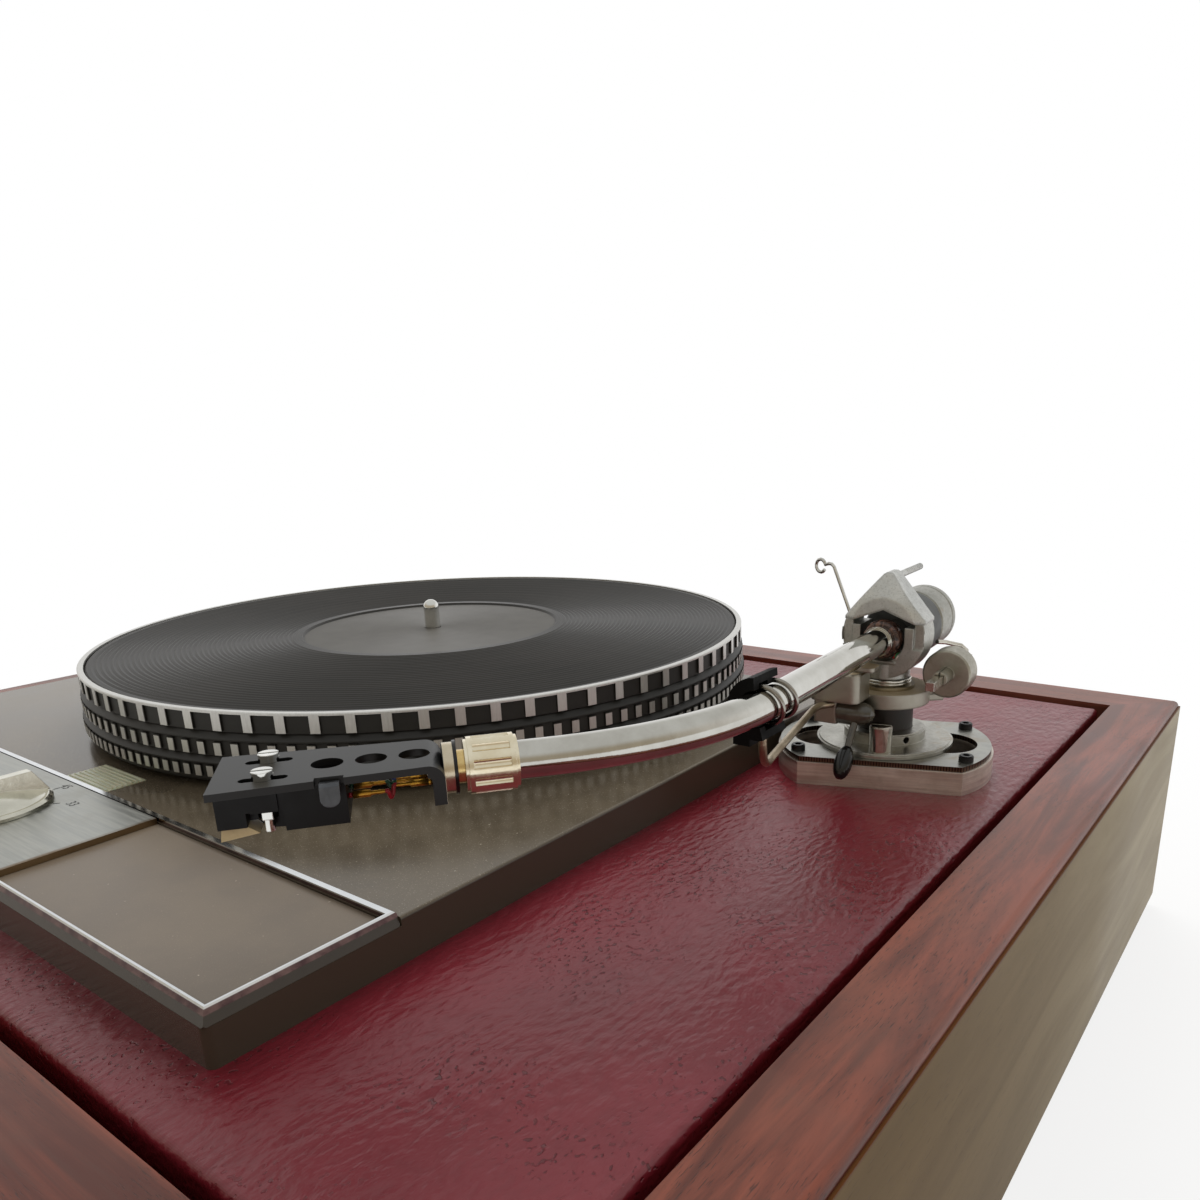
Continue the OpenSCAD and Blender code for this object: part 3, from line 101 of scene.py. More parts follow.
# Numbers beside the speed knob with their places from the spindle in millimetres; height of the letters,
# half of their thickness, and how far their middle stands above the plate
NUMERALS = (("45", 0.9, -171.2), ("33", 20.4, -177.4), ("78", -18.6, -177.4))
NUMERAL_SIZE = 4.6 * MM
NUMERAL_HALF = 0.02 * MM
NUMERAL_RISE = 0.01 * MM

# Control plate: reach of the grime from its right end, depth of that end's side, depth of the cut marks
PLATE_GRIME = (0.6 * MM, 2.2 * MM)
PLATE_SIDE = 0.4 * MM
MARK_DEPTH = 0.12 * MM

# Depths below the top between which the trim's polish gives way to a painted reflection, its painted shade
# begins, and the veneer's edge ends
TRIM_POLISH = (0.38 * MM, 0.56 * MM)
TRIM_PAINTED_SHADE = (1.6 * MM, 1.8 * MM)
VENEER_EDGE = (3.0 * MM, 4.2 * MM)

# Headshell: thickness of its rear wall, and how far behind that the black ring and the neck begin
SHELL_WALL = 3.0 * MM
RING_BEHIND = 2.4 * MM
NECK_BEHIND = 3.25 * MM

# Radius of the leads in the headshell, and of those in the yoke
LEAD_R = 0.52 * MM
FINE_LEAD_R = 0.3 * MM

# Lamp: place, width and power; and the half-width of the floor
KEY_AT = Vector((-0.5, 0.9, 1.5))
KEY_SIZE = 1.3
KEY_POWER = 17.0
FLOOR_REACH = 5.0

# Light of the room on the viewer's side, behind the object and above it
ROOM_NEAR = (0.46, 0.40, 0.31, 1)
ROOM_BEHIND = (1.0, 1.0, 1.0, 1)
ROOM_ABOVE = (0.68, 0.68, 0.66, 1)

# Depth of the grain on cast pieces
CAST_GRAIN = 0.06 * MM


def rgb(red, green, blue):
    """An sRGB colour, 0 to 255, as the linear colour that a shader takes."""

    def linear(channel):
        channel /= 255
        return channel / 12.92 if channel <= 0.04045 else ((channel + 0.055) / 1.055) ** 2.4

    return linear(red), linear(green), linear(blue), 1.0


class Shader:
    """A procedural material: one Principled shader and the helpers that make nodes to feed it."""

    def __init__(self, name, **values):
        self.material = bpy.data.materials.new(name)
        self.material.use_nodes = True
        self.tree = self.material.node_tree
        self.bsdf = self.tree.nodes["Principled BSDF"]
        self.place = self.add("ShaderNodeTexCoord").outputs["Object"]
        for key, value in values.items():
            self.set(key, value)

    def add(self, kind, **properties):
        node = self.tree.nodes.new(kind)
        for key, value in properties.items():
            setattr(node, key, value)
        return node

    def feed(self, socket, value):
        if isinstance(value, bpy.types.NodeSocket):
            self.tree.links.new(value, socket)
        else:
            socket.default_value = value

    def set(self, key, value):
        """Sets a socket of the shader, named in lower case with underscores."""
        self.feed(self.bsdf.inputs[key.replace("_", " ").title().replace("Ior", "IOR")], value)

    def local(self, origin, x_axis):
        """Coordinates from an origin, with the first axis along x_axis and the third one up."""
        turn = math.atan2(x_axis.y, x_axis.x)
        moved = self.vector("SUBTRACT", self.place, tuple(origin))
        node = self.add("ShaderNodeVectorRotate", rotation_type="Z_AXIS")
        self.feed(node.inputs["Vector"], moved)
        node.inputs["Angle"].default_value = -turn
        return node.outputs["Vector"]

    def scaled(self, vector, x, y, z):
        return self.vector("MULTIPLY", vector, (x, y, z))

    def vector(self, operation, a, b):
        node = self.add("ShaderNodeVectorMath", operation=operation)
        self.feed(node.inputs[0], a)
        self.feed(node.inputs[1], b)
        return node.outputs["Vector"]

    def split(self, vector):
        node = self.add("ShaderNodeSeparateXYZ")
        self.feed(node.inputs[0], vector)
        return node.outputs["X"], node.outputs["Y"], node.outputs["Z"]

    def radius(self, vector):
        """Distance from the vertical axis of the coordinates."""
        node = self.add("ShaderNodeVectorMath", operation="LENGTH")
        self.feed(node.inputs[0], self.vector("MULTIPLY", vector, (1, 1, 0)))
        return node.outputs["Value"]

    def spread(self, value):
        """A vector with the value in each place."""
        node = self.add("ShaderNodeCombineXYZ")
        for socket in node.inputs:
            self.feed(socket, value)
        return node.outputs["Vector"]

    def upward(self):
        """How far the surface faces up: 1 on top, 0 on upright faces."""
        return self.split(self.add("ShaderNodeNewGeometry").outputs["Normal"])[2]

    def calc(self, operation, a, b=0.0, clamp=False):
        node = self.add("ShaderNodeMath", operation=operation, use_clamp=clamp)
        self.feed(node.inputs[0], a)
        self.feed(node.inputs[1], b)
        return node.outputs["Value"]

    def noise(self, vector, scale, detail=4.0, rough=0.55, warp=0.0):
        node = self.add("ShaderNodeTexNoise")
        self.feed(node.inputs["Vector"], vector)
        node.inputs["Scale"].default_value = scale
        node.inputs["Detail"].default_value = detail
        node.inputs["Roughness"].default_value = rough
        node.inputs["Distortion"].default_value = warp
        return node.outputs["Fac"]

    def steps(self, value, low, high, to_low=0.0, to_high=1.0):
        """Maps low..high to to_low..to_high, smoothly and held at the ends."""
        node = self.add("ShaderNodeMapRange", interpolation_type="SMOOTHSTEP")
        self.feed(node.inputs["Value"], value)
        node.inputs["From Min"].default_value = low
        node.inputs["From Max"].default_value = high
        node.inputs["To Min"].default_value = to_low
        node.inputs["To Max"].default_value = to_high
        return node.outputs["Result"]

    def mix(self, factor, a, b, blend="MIX"):
        node = self.add("ShaderNodeMix", data_type="RGBA", blend_type=blend)
        self.feed(node.inputs["Factor"], factor)
        self.feed(node.inputs[6], a)
        self.feed(node.inputs[7], b)
        return node.outputs[2]

    def soft_edge(self, radius):
        """Normals that round off the edges of a solid."""
        node = self.add("ShaderNodeBevel", samples=4)
        node.inputs["Radius"].default_value = radius
        return node.outputs["Normal"]

    def relief(self, height, depth, strength=1.0, below=None):
        """Bump of that depth in metres for a height between 0 and 1."""
        node = self.add("ShaderNodeBump")
        self.feed(node.inputs["Height"], height)
        node.inputs["Distance"].default_value = depth
        node.inputs["Strength"].default_value = strength
        if below is not None:
            self.feed(node.inputs["Normal"], below)
        return node.outputs["Normal"]


def dress(shader, *names):
    """Gives CAD nodes a material."""
    for name in names:
        slots = NODES[name].data.materials
        slots.clear()
        slots.append(shader.material)


def mahogany(name, along_x):
    """Red-brown veneered timber in a satin varnish, with dark pores along the grain."""
    s = Shader(name, specular_ior_level=0.4, coat_weight=0.15, coat_roughness=0.25)
    grain = s.scaled(s.place, *((1.0, 11.0, 11.0) if along_x else (11.0, 1.0, 11.0)))
    figure = s.noise(grain, 9, 6, 0.65, 0.7)
    stripe = s.noise(grain, 34, 4, 0.6, 0.3)
    patches = s.noise(s.place, 16, 4, 0.55, 0.3)
    wood = s.mix(s.steps(figure, 0.34, 0.66), rgb(82, 34, 22), rgb(132, 66, 46))
    wood = s.mix(s.steps(stripe, 0.5, 0.72, 0, 0.55), wood, rgb(82, 46, 36))
    wood = s.mix(s.steps(patches, 0.42, 0.68, 0, 0.5), wood, rgb(112, 74, 60))
    pores = s.noise(grain, 260, 2, 0.5, 0.2)
    crowd = s.noise(s.place, 40, 2, 0.5)
    pore = s.calc("MULTIPLY", s.steps(pores, 0.58, 0.68), s.steps(crowd, 0.34, 0.6))
    wood = s.mix(s.calc("MULTIPLY", pore, 0.7), wood, rgb(46, 24, 18))
    s.set("base_color", wood)
    s.set("roughness", s.steps(patches, 0.3, 0.7, 0.3, 0.42))
    s.set("normal", s.relief(s.calc("SUBTRACT", 1.0, pore), 0.08 * MM, 0.4))
    return s


def pale_veneer():
    """Khaki veneer on the outer faces with short pores, a darker top edge, and painted light: paler toward
    the back and at its ends.
    """
    s = Shader("pale_veneer", specular_ior_level=0.05)
    grain = s.scaled(s.place, 1.0, 1.0, 8.0)
    figure = s.noise(grain, 7, 5, 0.6, 0.8)
    clouds = s.noise(s.place, 6, 3, 0.5, 0.4)
    wood = s.mix(s.steps(figure, 0.3, 0.7), rgb(90, 67, 36), rgb(114, 90, 54))
    wood = s.mix(s.steps(clouds, 0.4, 0.66, 0, 0.5), wood, rgb(104, 84, 50))
    pores = s.noise(grain, 190, 2, 0.5)
    pore = s.steps(pores, 0.62, 0.7)
    wood = s.mix(s.calc("MULTIPLY", pore, 0.5), wood, rgb(78, 60, 36))
    # Painted light: the veneer turns paler toward the back and on faces that look to the front or back.
    _, depth, height = s.split(s.place)
    facing = s.split(s.add("ShaderNodeNewGeometry").outputs["Normal"])[1]
    ends = s.steps(s.calc("ABSOLUTE", facing), 0.4, 0.8, 0, 0.45)
    painted_pale_light = s.mix(s.steps(figure, 0.3, 0.7), rgb(166, 153, 124), rgb(190, 179, 152))
    wood = s.mix(s.calc("MAXIMUM", s.steps(depth, -0.12, 0.24, 0, 0.65), ends), wood, painted_pale_light)
    edge = s.steps(height, PLINTH_TOP - VENEER_EDGE[1], PLINTH_TOP - VENEER_EDGE[0])
    wood = s.mix(edge, wood, s.mix(figure, rgb(78, 46, 22), rgb(104, 66, 36)))
    s.set("base_color", wood)
    s.set("roughness", s.steps(clouds, 0.3, 0.7, 0.34, 0.46))
    s.set("normal", s.relief(s.calc("SUBTRACT", 1.0, pore), 0.08 * MM, 0.4))
    return s


def plywood():
    """Bare inner boards that are seen only from below and through the joint."""
    s = Shader("plywood", roughness=0.8)
    grain = s.noise(s.scaled(s.place, 1.0, 12.0, 12.0), 12, 4)
    s.set("base_color", s.mix(grain, rgb(120, 86, 56), rgb(172, 132, 92)))
    s.set("normal", s.relief(grain, 0.2 * MM, 0.4))
    return s


def burgundy_leather():
    """Glossy tanned hide: fine wrinkles drawn out front to back, slow swells, small pits in groups, painted
    shade in pits and troughs.
    """
    s = Shader("burgundy_leather", specular_ior_level=0.62)
    drift = s.noise(s.place, 40, 2, 0.5)
    bent = s.vector("ADD", s.place, s.vector("MULTIPLY", s.spread(drift), (0.008, 0.0, 0.0)))
    wrinkles = s.noise(s.scaled(bent, 1.0, 0.48, 1.0), 460, 2, 0.4)
    swell = s.noise(s.scaled(s.place, 1.0, 0.55, 1.0), 90, 3, 0.5, 0.5)
    crowd = s.steps(s.noise(s.place, 30, 3, 0.5), 0.45, 0.62)
    pit = s.steps(s.noise(s.scaled(bent, 1.0, 0.7, 1.0), 900, 1, 0.3), 0.63, 0.7)
    pit = s.calc("MULTIPLY", pit, crowd)
    tone = s.noise(s.place, 11, 4, 0.6)
    hide = s.mix(s.steps(tone, 0.35, 0.65), rgb(99, 17, 29), rgb(113, 25, 38))
    # Painted shade: the troughs of the wrinkles and the pits are darkened.
    hide = s.mix(s.steps(wrinkles, 0.34, 0.5, 0.12, 0), hide, rgb(72, 10, 20))
    hide = s.mix(s.calc("MULTIPLY", pit, 0.7), hide, rgb(56, 8, 15))
    s.set("base_color", hide)
    s.set("roughness", s.steps(tone, 0.3, 0.7, 0.27, 0.36))
    ripple = s.calc("SUBTRACT", wrinkles, s.calc("MULTIPLY", pit, 0.5))
    s.set("normal", s.relief(ripple, 0.8 * MM, 0.6, s.relief(swell, 1.2 * MM, 0.4)))
    return s


def painted(name, dark, light, roughness, flake=0.0, gloss=0.5, sides=None):
    """Sprayed enamel; flake adds bright specks, and sides is a painted shade that darkens the upright faces.
    """
    s = Shader(name, specular_ior_level=gloss)
    cloud = s.noise(s.place, 25, 4, 0.6)
    speck = s.noise(s.place, 2600, 2, 0.5)
    tone = s.mix(s.steps(cloud, 0.35, 0.65), dark, light)
    if flake:
        tone = s.mix(s.steps(speck, 0.6, 0.8, 0, flake), tone, rgb(200, 188, 168))
        dust = s.noise(s.place, 850, 1, 0.4)
        tone = s.mix(s.steps(dust, 0.79, 0.82, 0, 0.5), tone, rgb(206, 196, 178))
    # Painted shade: upright faces take the darker sides tone, as they catch less light.
    if sides:
        tone = s.mix(s.steps(s.upward(), 0.2, 0.8, 1, 0), tone, sides)
    s.set("base_color", tone)
    s.set("roughness", s.steps(cloud, 0.3, 0.7, roughness * 0.85, roughness * 1.15))
    s.set("normal", s.relief(speck, 0.02 * MM, 0.25))
    return s


def metal(name, dark, light, roughness, brushed=None, wear=0.0, sandy=0.0, stain=rgb(120, 100, 76), soft=0.3):
    """Bare or plated metal.

    brushed is a scale for each axis that draws the marks out along one of them, sandy the depth of a cast
    grain, wear the strength of the stain, and soft the radius in millimetres that rounds off the edges.
    """
    s = Shader(name, metallic=1.0)
    cloud = s.noise(s.place, 90, 4, 0.6)
    marks = s.noise(s.scaled(s.place, *(brushed or (1, 1, 1))), 900, 3, 0.6)
    tone = s.mix(s.steps(cloud, 0.3, 0.7), dark, light)
    if sandy:
        tone = s.mix(s.steps(s.noise(s.place, 1500, 3, 0.7), 0.5, 0.75, 0, 0.5), tone, rgb(126, 124, 118))
    elif brushed:
        tone = s.mix(s.steps(marks, 0.35, 0.65, 0.22, 0), tone, rgb(100, 95, 90))
    if wear:
        spots = s.noise(s.place, 160, 5, 0.7, 0.5)
        tone = s.mix(s.steps(spots, 0.56, 0.72, 0, wear), tone, stain)
    s.set("base_color", tone)
    s.set("roughness", s.steps(marks, 0.3, 0.7, roughness * 0.8, roughness * 1.25))
    s.set("normal", s.relief(marks, sandy or 0.04 * MM, 0.3, s.soft_edge(soft * MM)))
    return s


def shell_enamel():
    """Black satin headshell, with a pale washer, a black ring and a gilded neck behind its wall."""
    s = Shader("shell_enamel", roughness=0.42, specular_ior_level=0.45)
    along = s.split(s.local(SHELL_AT, SHELL_FRONT))[0]
    wall = lead_span()[0] - SHELL_WALL
    speck = s.noise(s.place, 1800, 2, 0.5)
    black = s.mix(speck, rgb(9, 9, 9), rgb(19, 19, 19))
    cream = s.mix(s.noise(s.place, 300, 4), rgb(196, 182, 156), rgb(222, 212, 190))
    gold = s.mix(speck, rgb(214, 184, 122), rgb(234, 208, 150))
    washer = s.calc("LESS_THAN", along, wall)
    ring = s.calc("LESS_THAN", along, wall - RING_BEHIND)
    neck = s.calc("LESS_THAN", along, wall - NECK_BEHIND)
    tone = s.mix(neck, s.mix(ring, s.mix(washer, black, cream), black), gold)
    s.set("base_color", tone)
    s.set("metallic", s.calc("ADD", s.calc("SUBTRACT", washer, ring), neck, clamp=True))
    s.set("roughness", s.steps(washer, 0, 1, 0.42, 0.26))
    s.set("normal", s.relief(speck, 0.02 * MM, 0.25))
    return s


def casting_painted_top():
    """Cast bracket, bare on its sides, with a painted reflection in dull tan on the faces that look up."""
    s = Shader("casting_painted_top")
    cloud = s.noise(s.place, 150, 5, 0.65, 0.4)
    # Painted reflection: faces that look up turn tan and less metallic.
    top = s.steps(s.upward(), 0.6, 0.95)
    bare = s.mix(cloud, rgb(150, 146, 134), rgb(182, 178, 167))
    tan = s.mix(cloud, rgb(150, 130, 98), rgb(186, 168, 136))
    s.set("base_color", s.mix(s.calc("MULTIPLY", top, 0.85), bare, tan))
    s.set("metallic", s.steps(top, 0, 1, 1, 0.35))
    s.set("roughness", s.steps(top, 0, 1, 0.4, 0.5))
    s.set("normal", s.relief(s.noise(s.place, 1500, 3, 0.7), CAST_GRAIN, 0.3, s.soft_edge(0.8 * MM)))
    return s


def pillar_finish():
    """Blackened pillar under a bare metal head."""
    s = Shader("pillar_finish")
    height = s.split(s.place)[2]
    head = s.calc("GREATER_THAN", height, HEAD_Z)
    cloud = s.noise(s.place, 160, 4, 0.6)
    black = s.mix(cloud, rgb(18, 15, 12), rgb(40, 32, 26))
    bare = s.mix(cloud, rgb(150, 138, 112), rgb(178, 168, 146))
    s.set("base_color", s.mix(head, black, bare))
    s.set("metallic", head)
    s.set("roughness", s.steps(head, 0, 1, 0.42, 0.38))
    s.set("normal", s.relief(s.noise(s.place, 1200, 3), 0.04 * MM, 0.3))
    return s


def polished_trim():
    """Polished strip round the panel: bright on top, a painted reflection of the red leather on its slopes,
    and painted shade at their foot.
    """
    s = Shader("polished_trim")
    cloud = s.noise(s.place, 200, 4, 0.6)
    tone = s.mix(cloud, rgb(208, 212, 216), rgb(230, 232, 234))
    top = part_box("panel_trim")[1].z
    height = s.split(s.place)[2]
    slope = s.steps(height, top - TRIM_POLISH[1], top - TRIM_POLISH[0], 1, 0)
    foot = s.steps(height, top - TRIM_PAINTED_SHADE[1], top - TRIM_PAINTED_SHADE[0], 1, 0)
    # Painted reflection: the slopes take the purple-brown of the leather they mirror.
    painted_leather_reflection = s.mix(s.steps(cloud, 0.35, 0.65), rgb(82, 64, 66), rgb(116, 94, 92))
    # Painted shade: the foot of the slopes takes the dark, non-metallic tone of the deck's shaded sides.
    enamel = s.mix(cloud, rgb(54, 46, 38), rgb(62, 54, 45))
    s.set("base_color", s.mix(foot, s.mix(slope, tone, painted_leather_reflection), enamel))
    s.set("metallic", s.calc("SUBTRACT", 1.0, foot))
    s.set("roughness", s.steps(slope, 0, 1, 0.12, 0.26))
    s.set("normal", s.relief(s.noise(s.place, 1500, 2), 0.01 * MM, 0.2))
    return s


def satin_plate():
    """Brushed silver control plate with grimy edges and blackened marks round the knobs."""
    s = Shader("satin_plate", metallic=1.0)
    marks = s.noise(s.scaled(s.place, 0.05, 1, 1), 900, 3, 0.6)
    cloud = s.noise(s.place, 60, 4, 0.6)
    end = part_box("control_plate")[1].x
    x, _, z = s.split(s.place)
    tone = s.mix(s.steps(marks, 0.3, 0.7), rgb(158, 160, 156), rgb(186, 187, 182))
    tone = s.mix(s.steps(cloud, 0.5, 0.75, 0, 0.4), tone, rgb(150, 148, 138))
    near_end = s.steps(x, end - PLATE_GRIME[1], end - PLATE_GRIME[0])
    grime = s.calc("MULTIPLY", near_end, s.steps(cloud, 0.35, 0.6, 0.4, 1))
    tone = s.mix(grime, tone, rgb(116, 96, 72))
    side = s.calc("GREATER_THAN", x, end - PLATE_SIDE)
    upright = s.calc("MULTIPLY", side, s.steps(s.upward(), 0.3, 0.8, 1, 0))
    tone = s.mix(upright, tone, s.mix(cloud, rgb(110, 88, 62), rgb(160, 138, 108)))
    mark = s.calc("SUBTRACT", s.calc("LESS_THAN", z, PANEL_Z - MARK_DEPTH), side, clamp=True)
    s.set("base_color", s.mix(mark, tone, rgb(30, 29, 28)))
    s.set("roughness", s.steps(marks, 0.3, 0.7, 0.3, 0.42))
    s.set("normal", s.relief(marks, 0.03 * MM, 0.3))
    return s


def bed_metal():
    """Satin bed plate with fine dark graduations along its front edge and warm stains."""
    s = Shader("bed_metal", metallic=1.0)
    along = s.split(s.local(PILLAR, BED_ALONG))[0]
    cloud = s.noise(s.place, 120, 5, 0.65)
    tone = s.mix(s.steps(cloud, 0.3, 0.7), rgb(156, 156, 152), rgb(186, 186, 180))
    tone = s.mix(s.steps(s.noise(s.place, 60, 5, 0.7, 0.6), 0.52, 0.7, 0, 0.5), tone, rgb(150, 132, 104))
    ticks = s.steps(s.calc("SINE", s.calc("MULTIPLY", along, math.tau / TICK_PITCH)), 0.3, 0.6)
    edge = s.mix(ticks, rgb(104, 84, 72), rgb(48, 38, 34))
    s.set("base_color", s.mix(s.steps(s.upward(), 0.2, 0.6, 1, 0), tone, edge))
    s.set("roughness", s.steps(cloud, 0.3, 0.7, 0.32, 0.44))
    s.set("normal", s.relief(s.noise(s.place, 1600, 3), 0.04 * MM, 0.3))
    return s


def plastic(name, dark, light, roughness, gloss=0.5):
    """Moulded plastic or rubber with a slight mottle."""
    s = Shader(name, specular_ior_level=gloss)
    cloud = s.noise(s.place, 180, 4, 0.6)
    s.set("base_color", s.mix(s.steps(cloud, 0.3, 0.7), dark, light))
    s.set("roughness", s.steps(cloud, 0.3, 0.7, roughness * 0.85, roughness * 1.2))
    s.set("normal", s.relief(s.noise(s.place, 1500, 2), 0.03 * MM, 0.3))
    return s


def strobe_platter():
    """Turned aluminium rim: bright bars over blackened pockets and dark sloping bands."""
    s = Shader("strobe_platter")
    here = s.vector("SUBTRACT", s.place, tuple(SPINDLE.xy) + (0.0,))
    reach = s.radius(here)
    height = s.split(here)[2]
    upper, lower = STROBE_SPLITS
    row = s.calc("ADD", s.calc("LESS_THAN", height, upper), s.calc("LESS_THAN", height, lower))
    land_r = s.calc("ADD", s.calc("MULTIPLY", row, STROBE_STEP), STROBE_R - STROBE_SLACK)
    land = s.calc("GREATER_THAN", reach, land_r)
    for lip in STROBE_LIPS:
        near = s.calc("COMPARE", height, lip)
        near.node.inputs[2].default_value = LIP_HALF
        land = s.calc("SUBTRACT", land, near, clamp=True)
    rim_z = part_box("platter")[1].z
    rim = s.calc("GREATER_THAN", height, rim_z - RIM_DEPTH)
    low_edge = s.calc("LESS_THAN", height, STROBE_FOOT)
    inside = s.calc("LESS_THAN", reach, STROBE_R - RIM_WIDTH)
    bright = s.calc("MAXIMUM", s.calc("MAXIMUM", s.calc("SUBTRACT", land, low_edge, clamp=True), rim), inside)
    brushed = s.noise(s.scaled(s.place, 1, 1, 0.15), 1800, 3, 0.6)
    silver = s.mix(brushed, rgb(190, 189, 185), rgb(222, 221, 217))
    black = s.mix(s.noise(s.place, 220, 4), rgb(20, 19, 17), rgb(38, 36, 32))
    s.set("base_color", s.mix(bright, black, silver))
    s.set("metallic", s.calc("MULTIPLY", bright, 0.9))
    s.set("roughness", s.steps(bright, 0, 1, 0.5, 0.34))
    s.set("normal", s.relief(brushed, 0.04 * MM, 0.3))
    return s


def grooved_mat():
    """Black ribbed rubber with a smooth border and a lighter label field."""
    s = Shader("grooved_mat", specular_ior_level=0.35, anisotropic=0.55)
    here = s.vector("SUBTRACT", s.place, tuple(SPINDLE.xy) + (0.0,))
    reach = s.radius(here)
    rings = s.calc("SINE", s.calc("MULTIPLY", reach, math.tau / RIB_PITCH))
    bands = s.noise(s.vector("MULTIPLY", s.spread(reach), (1, 0, 0)), 900, 3, 0.7)
    label = s.steps(reach, LABEL_R - 0.3 * MM, LABEL_R + 0.3 * MM, 1, 0)
    border = s.steps(reach, BORDER_R - 0.25 * MM, BORDER_R + 0.25 * MM)
    streak = s.noise(s.scaled(here, 1, 1, 0), 16, 4, 0.6)
    rubber = s.mix(s.steps(streak, 0.3, 0.7), rgb(27, 25, 22), rgb(36, 33, 30))
    rubber = s.mix(s.steps(bands, 0.45, 0.7, 0, 0.5), rubber, rgb(50, 46, 40))
    field = s.mix(s.noise(here, 120, 4), rgb(80, 78, 75), rgb(96, 94, 90))
    s.set("base_color", s.mix(label, rubber, field))
    s.set("roughness", s.steps(label, 0, 1, 0.4, 0.55))
    flat = s.calc("MAXIMUM", label, border)
    s.set("normal", s.relief(s.calc("MULTIPLY", rings, s.calc("SUBTRACT", 1.0, flat)), 0.05 * MM, 0.4))
    turn = s.add("ShaderNodeTangent", direction_type="RADIAL", axis="Z")
    s.set("tangent", turn.outputs[0])
    return s


def strobe_lens():
    """Milky ribbed lens over the strobe lamp."""
    s = Shader("strobe_lens", roughness=0.25, subsurface_weight=0.15)
    rows = s.noise(s.scaled(s.place, 0.2, 1, 1), 420, 3)
    s.set("base_color", s.mix(rows, rgb(160, 154, 124), rgb(204, 200, 174)))
    return s


def lead_span():
    """Where the leads begin and end along the headshell, from the collar."""
    spans = [(v.co - SHELL_AT).dot(SHELL_FRONT) for v in NODES["lead_wires"].data.vertices]
    return min(spans), max(spans)


def lead_material(name, dark, light, metallic):
    """Finish of the leads: coloured sleeving, or gilded crimps."""
    s = Shader(name, metallic=metallic, roughness=0.34)
    s.set("base_color", s.mix(s.noise(s.place, 900, 3), dark, light))
    s.set("normal", s.relief(s.noise(s.place, 2400, 2), 0.04 * MM, 0.4))
    return s.material


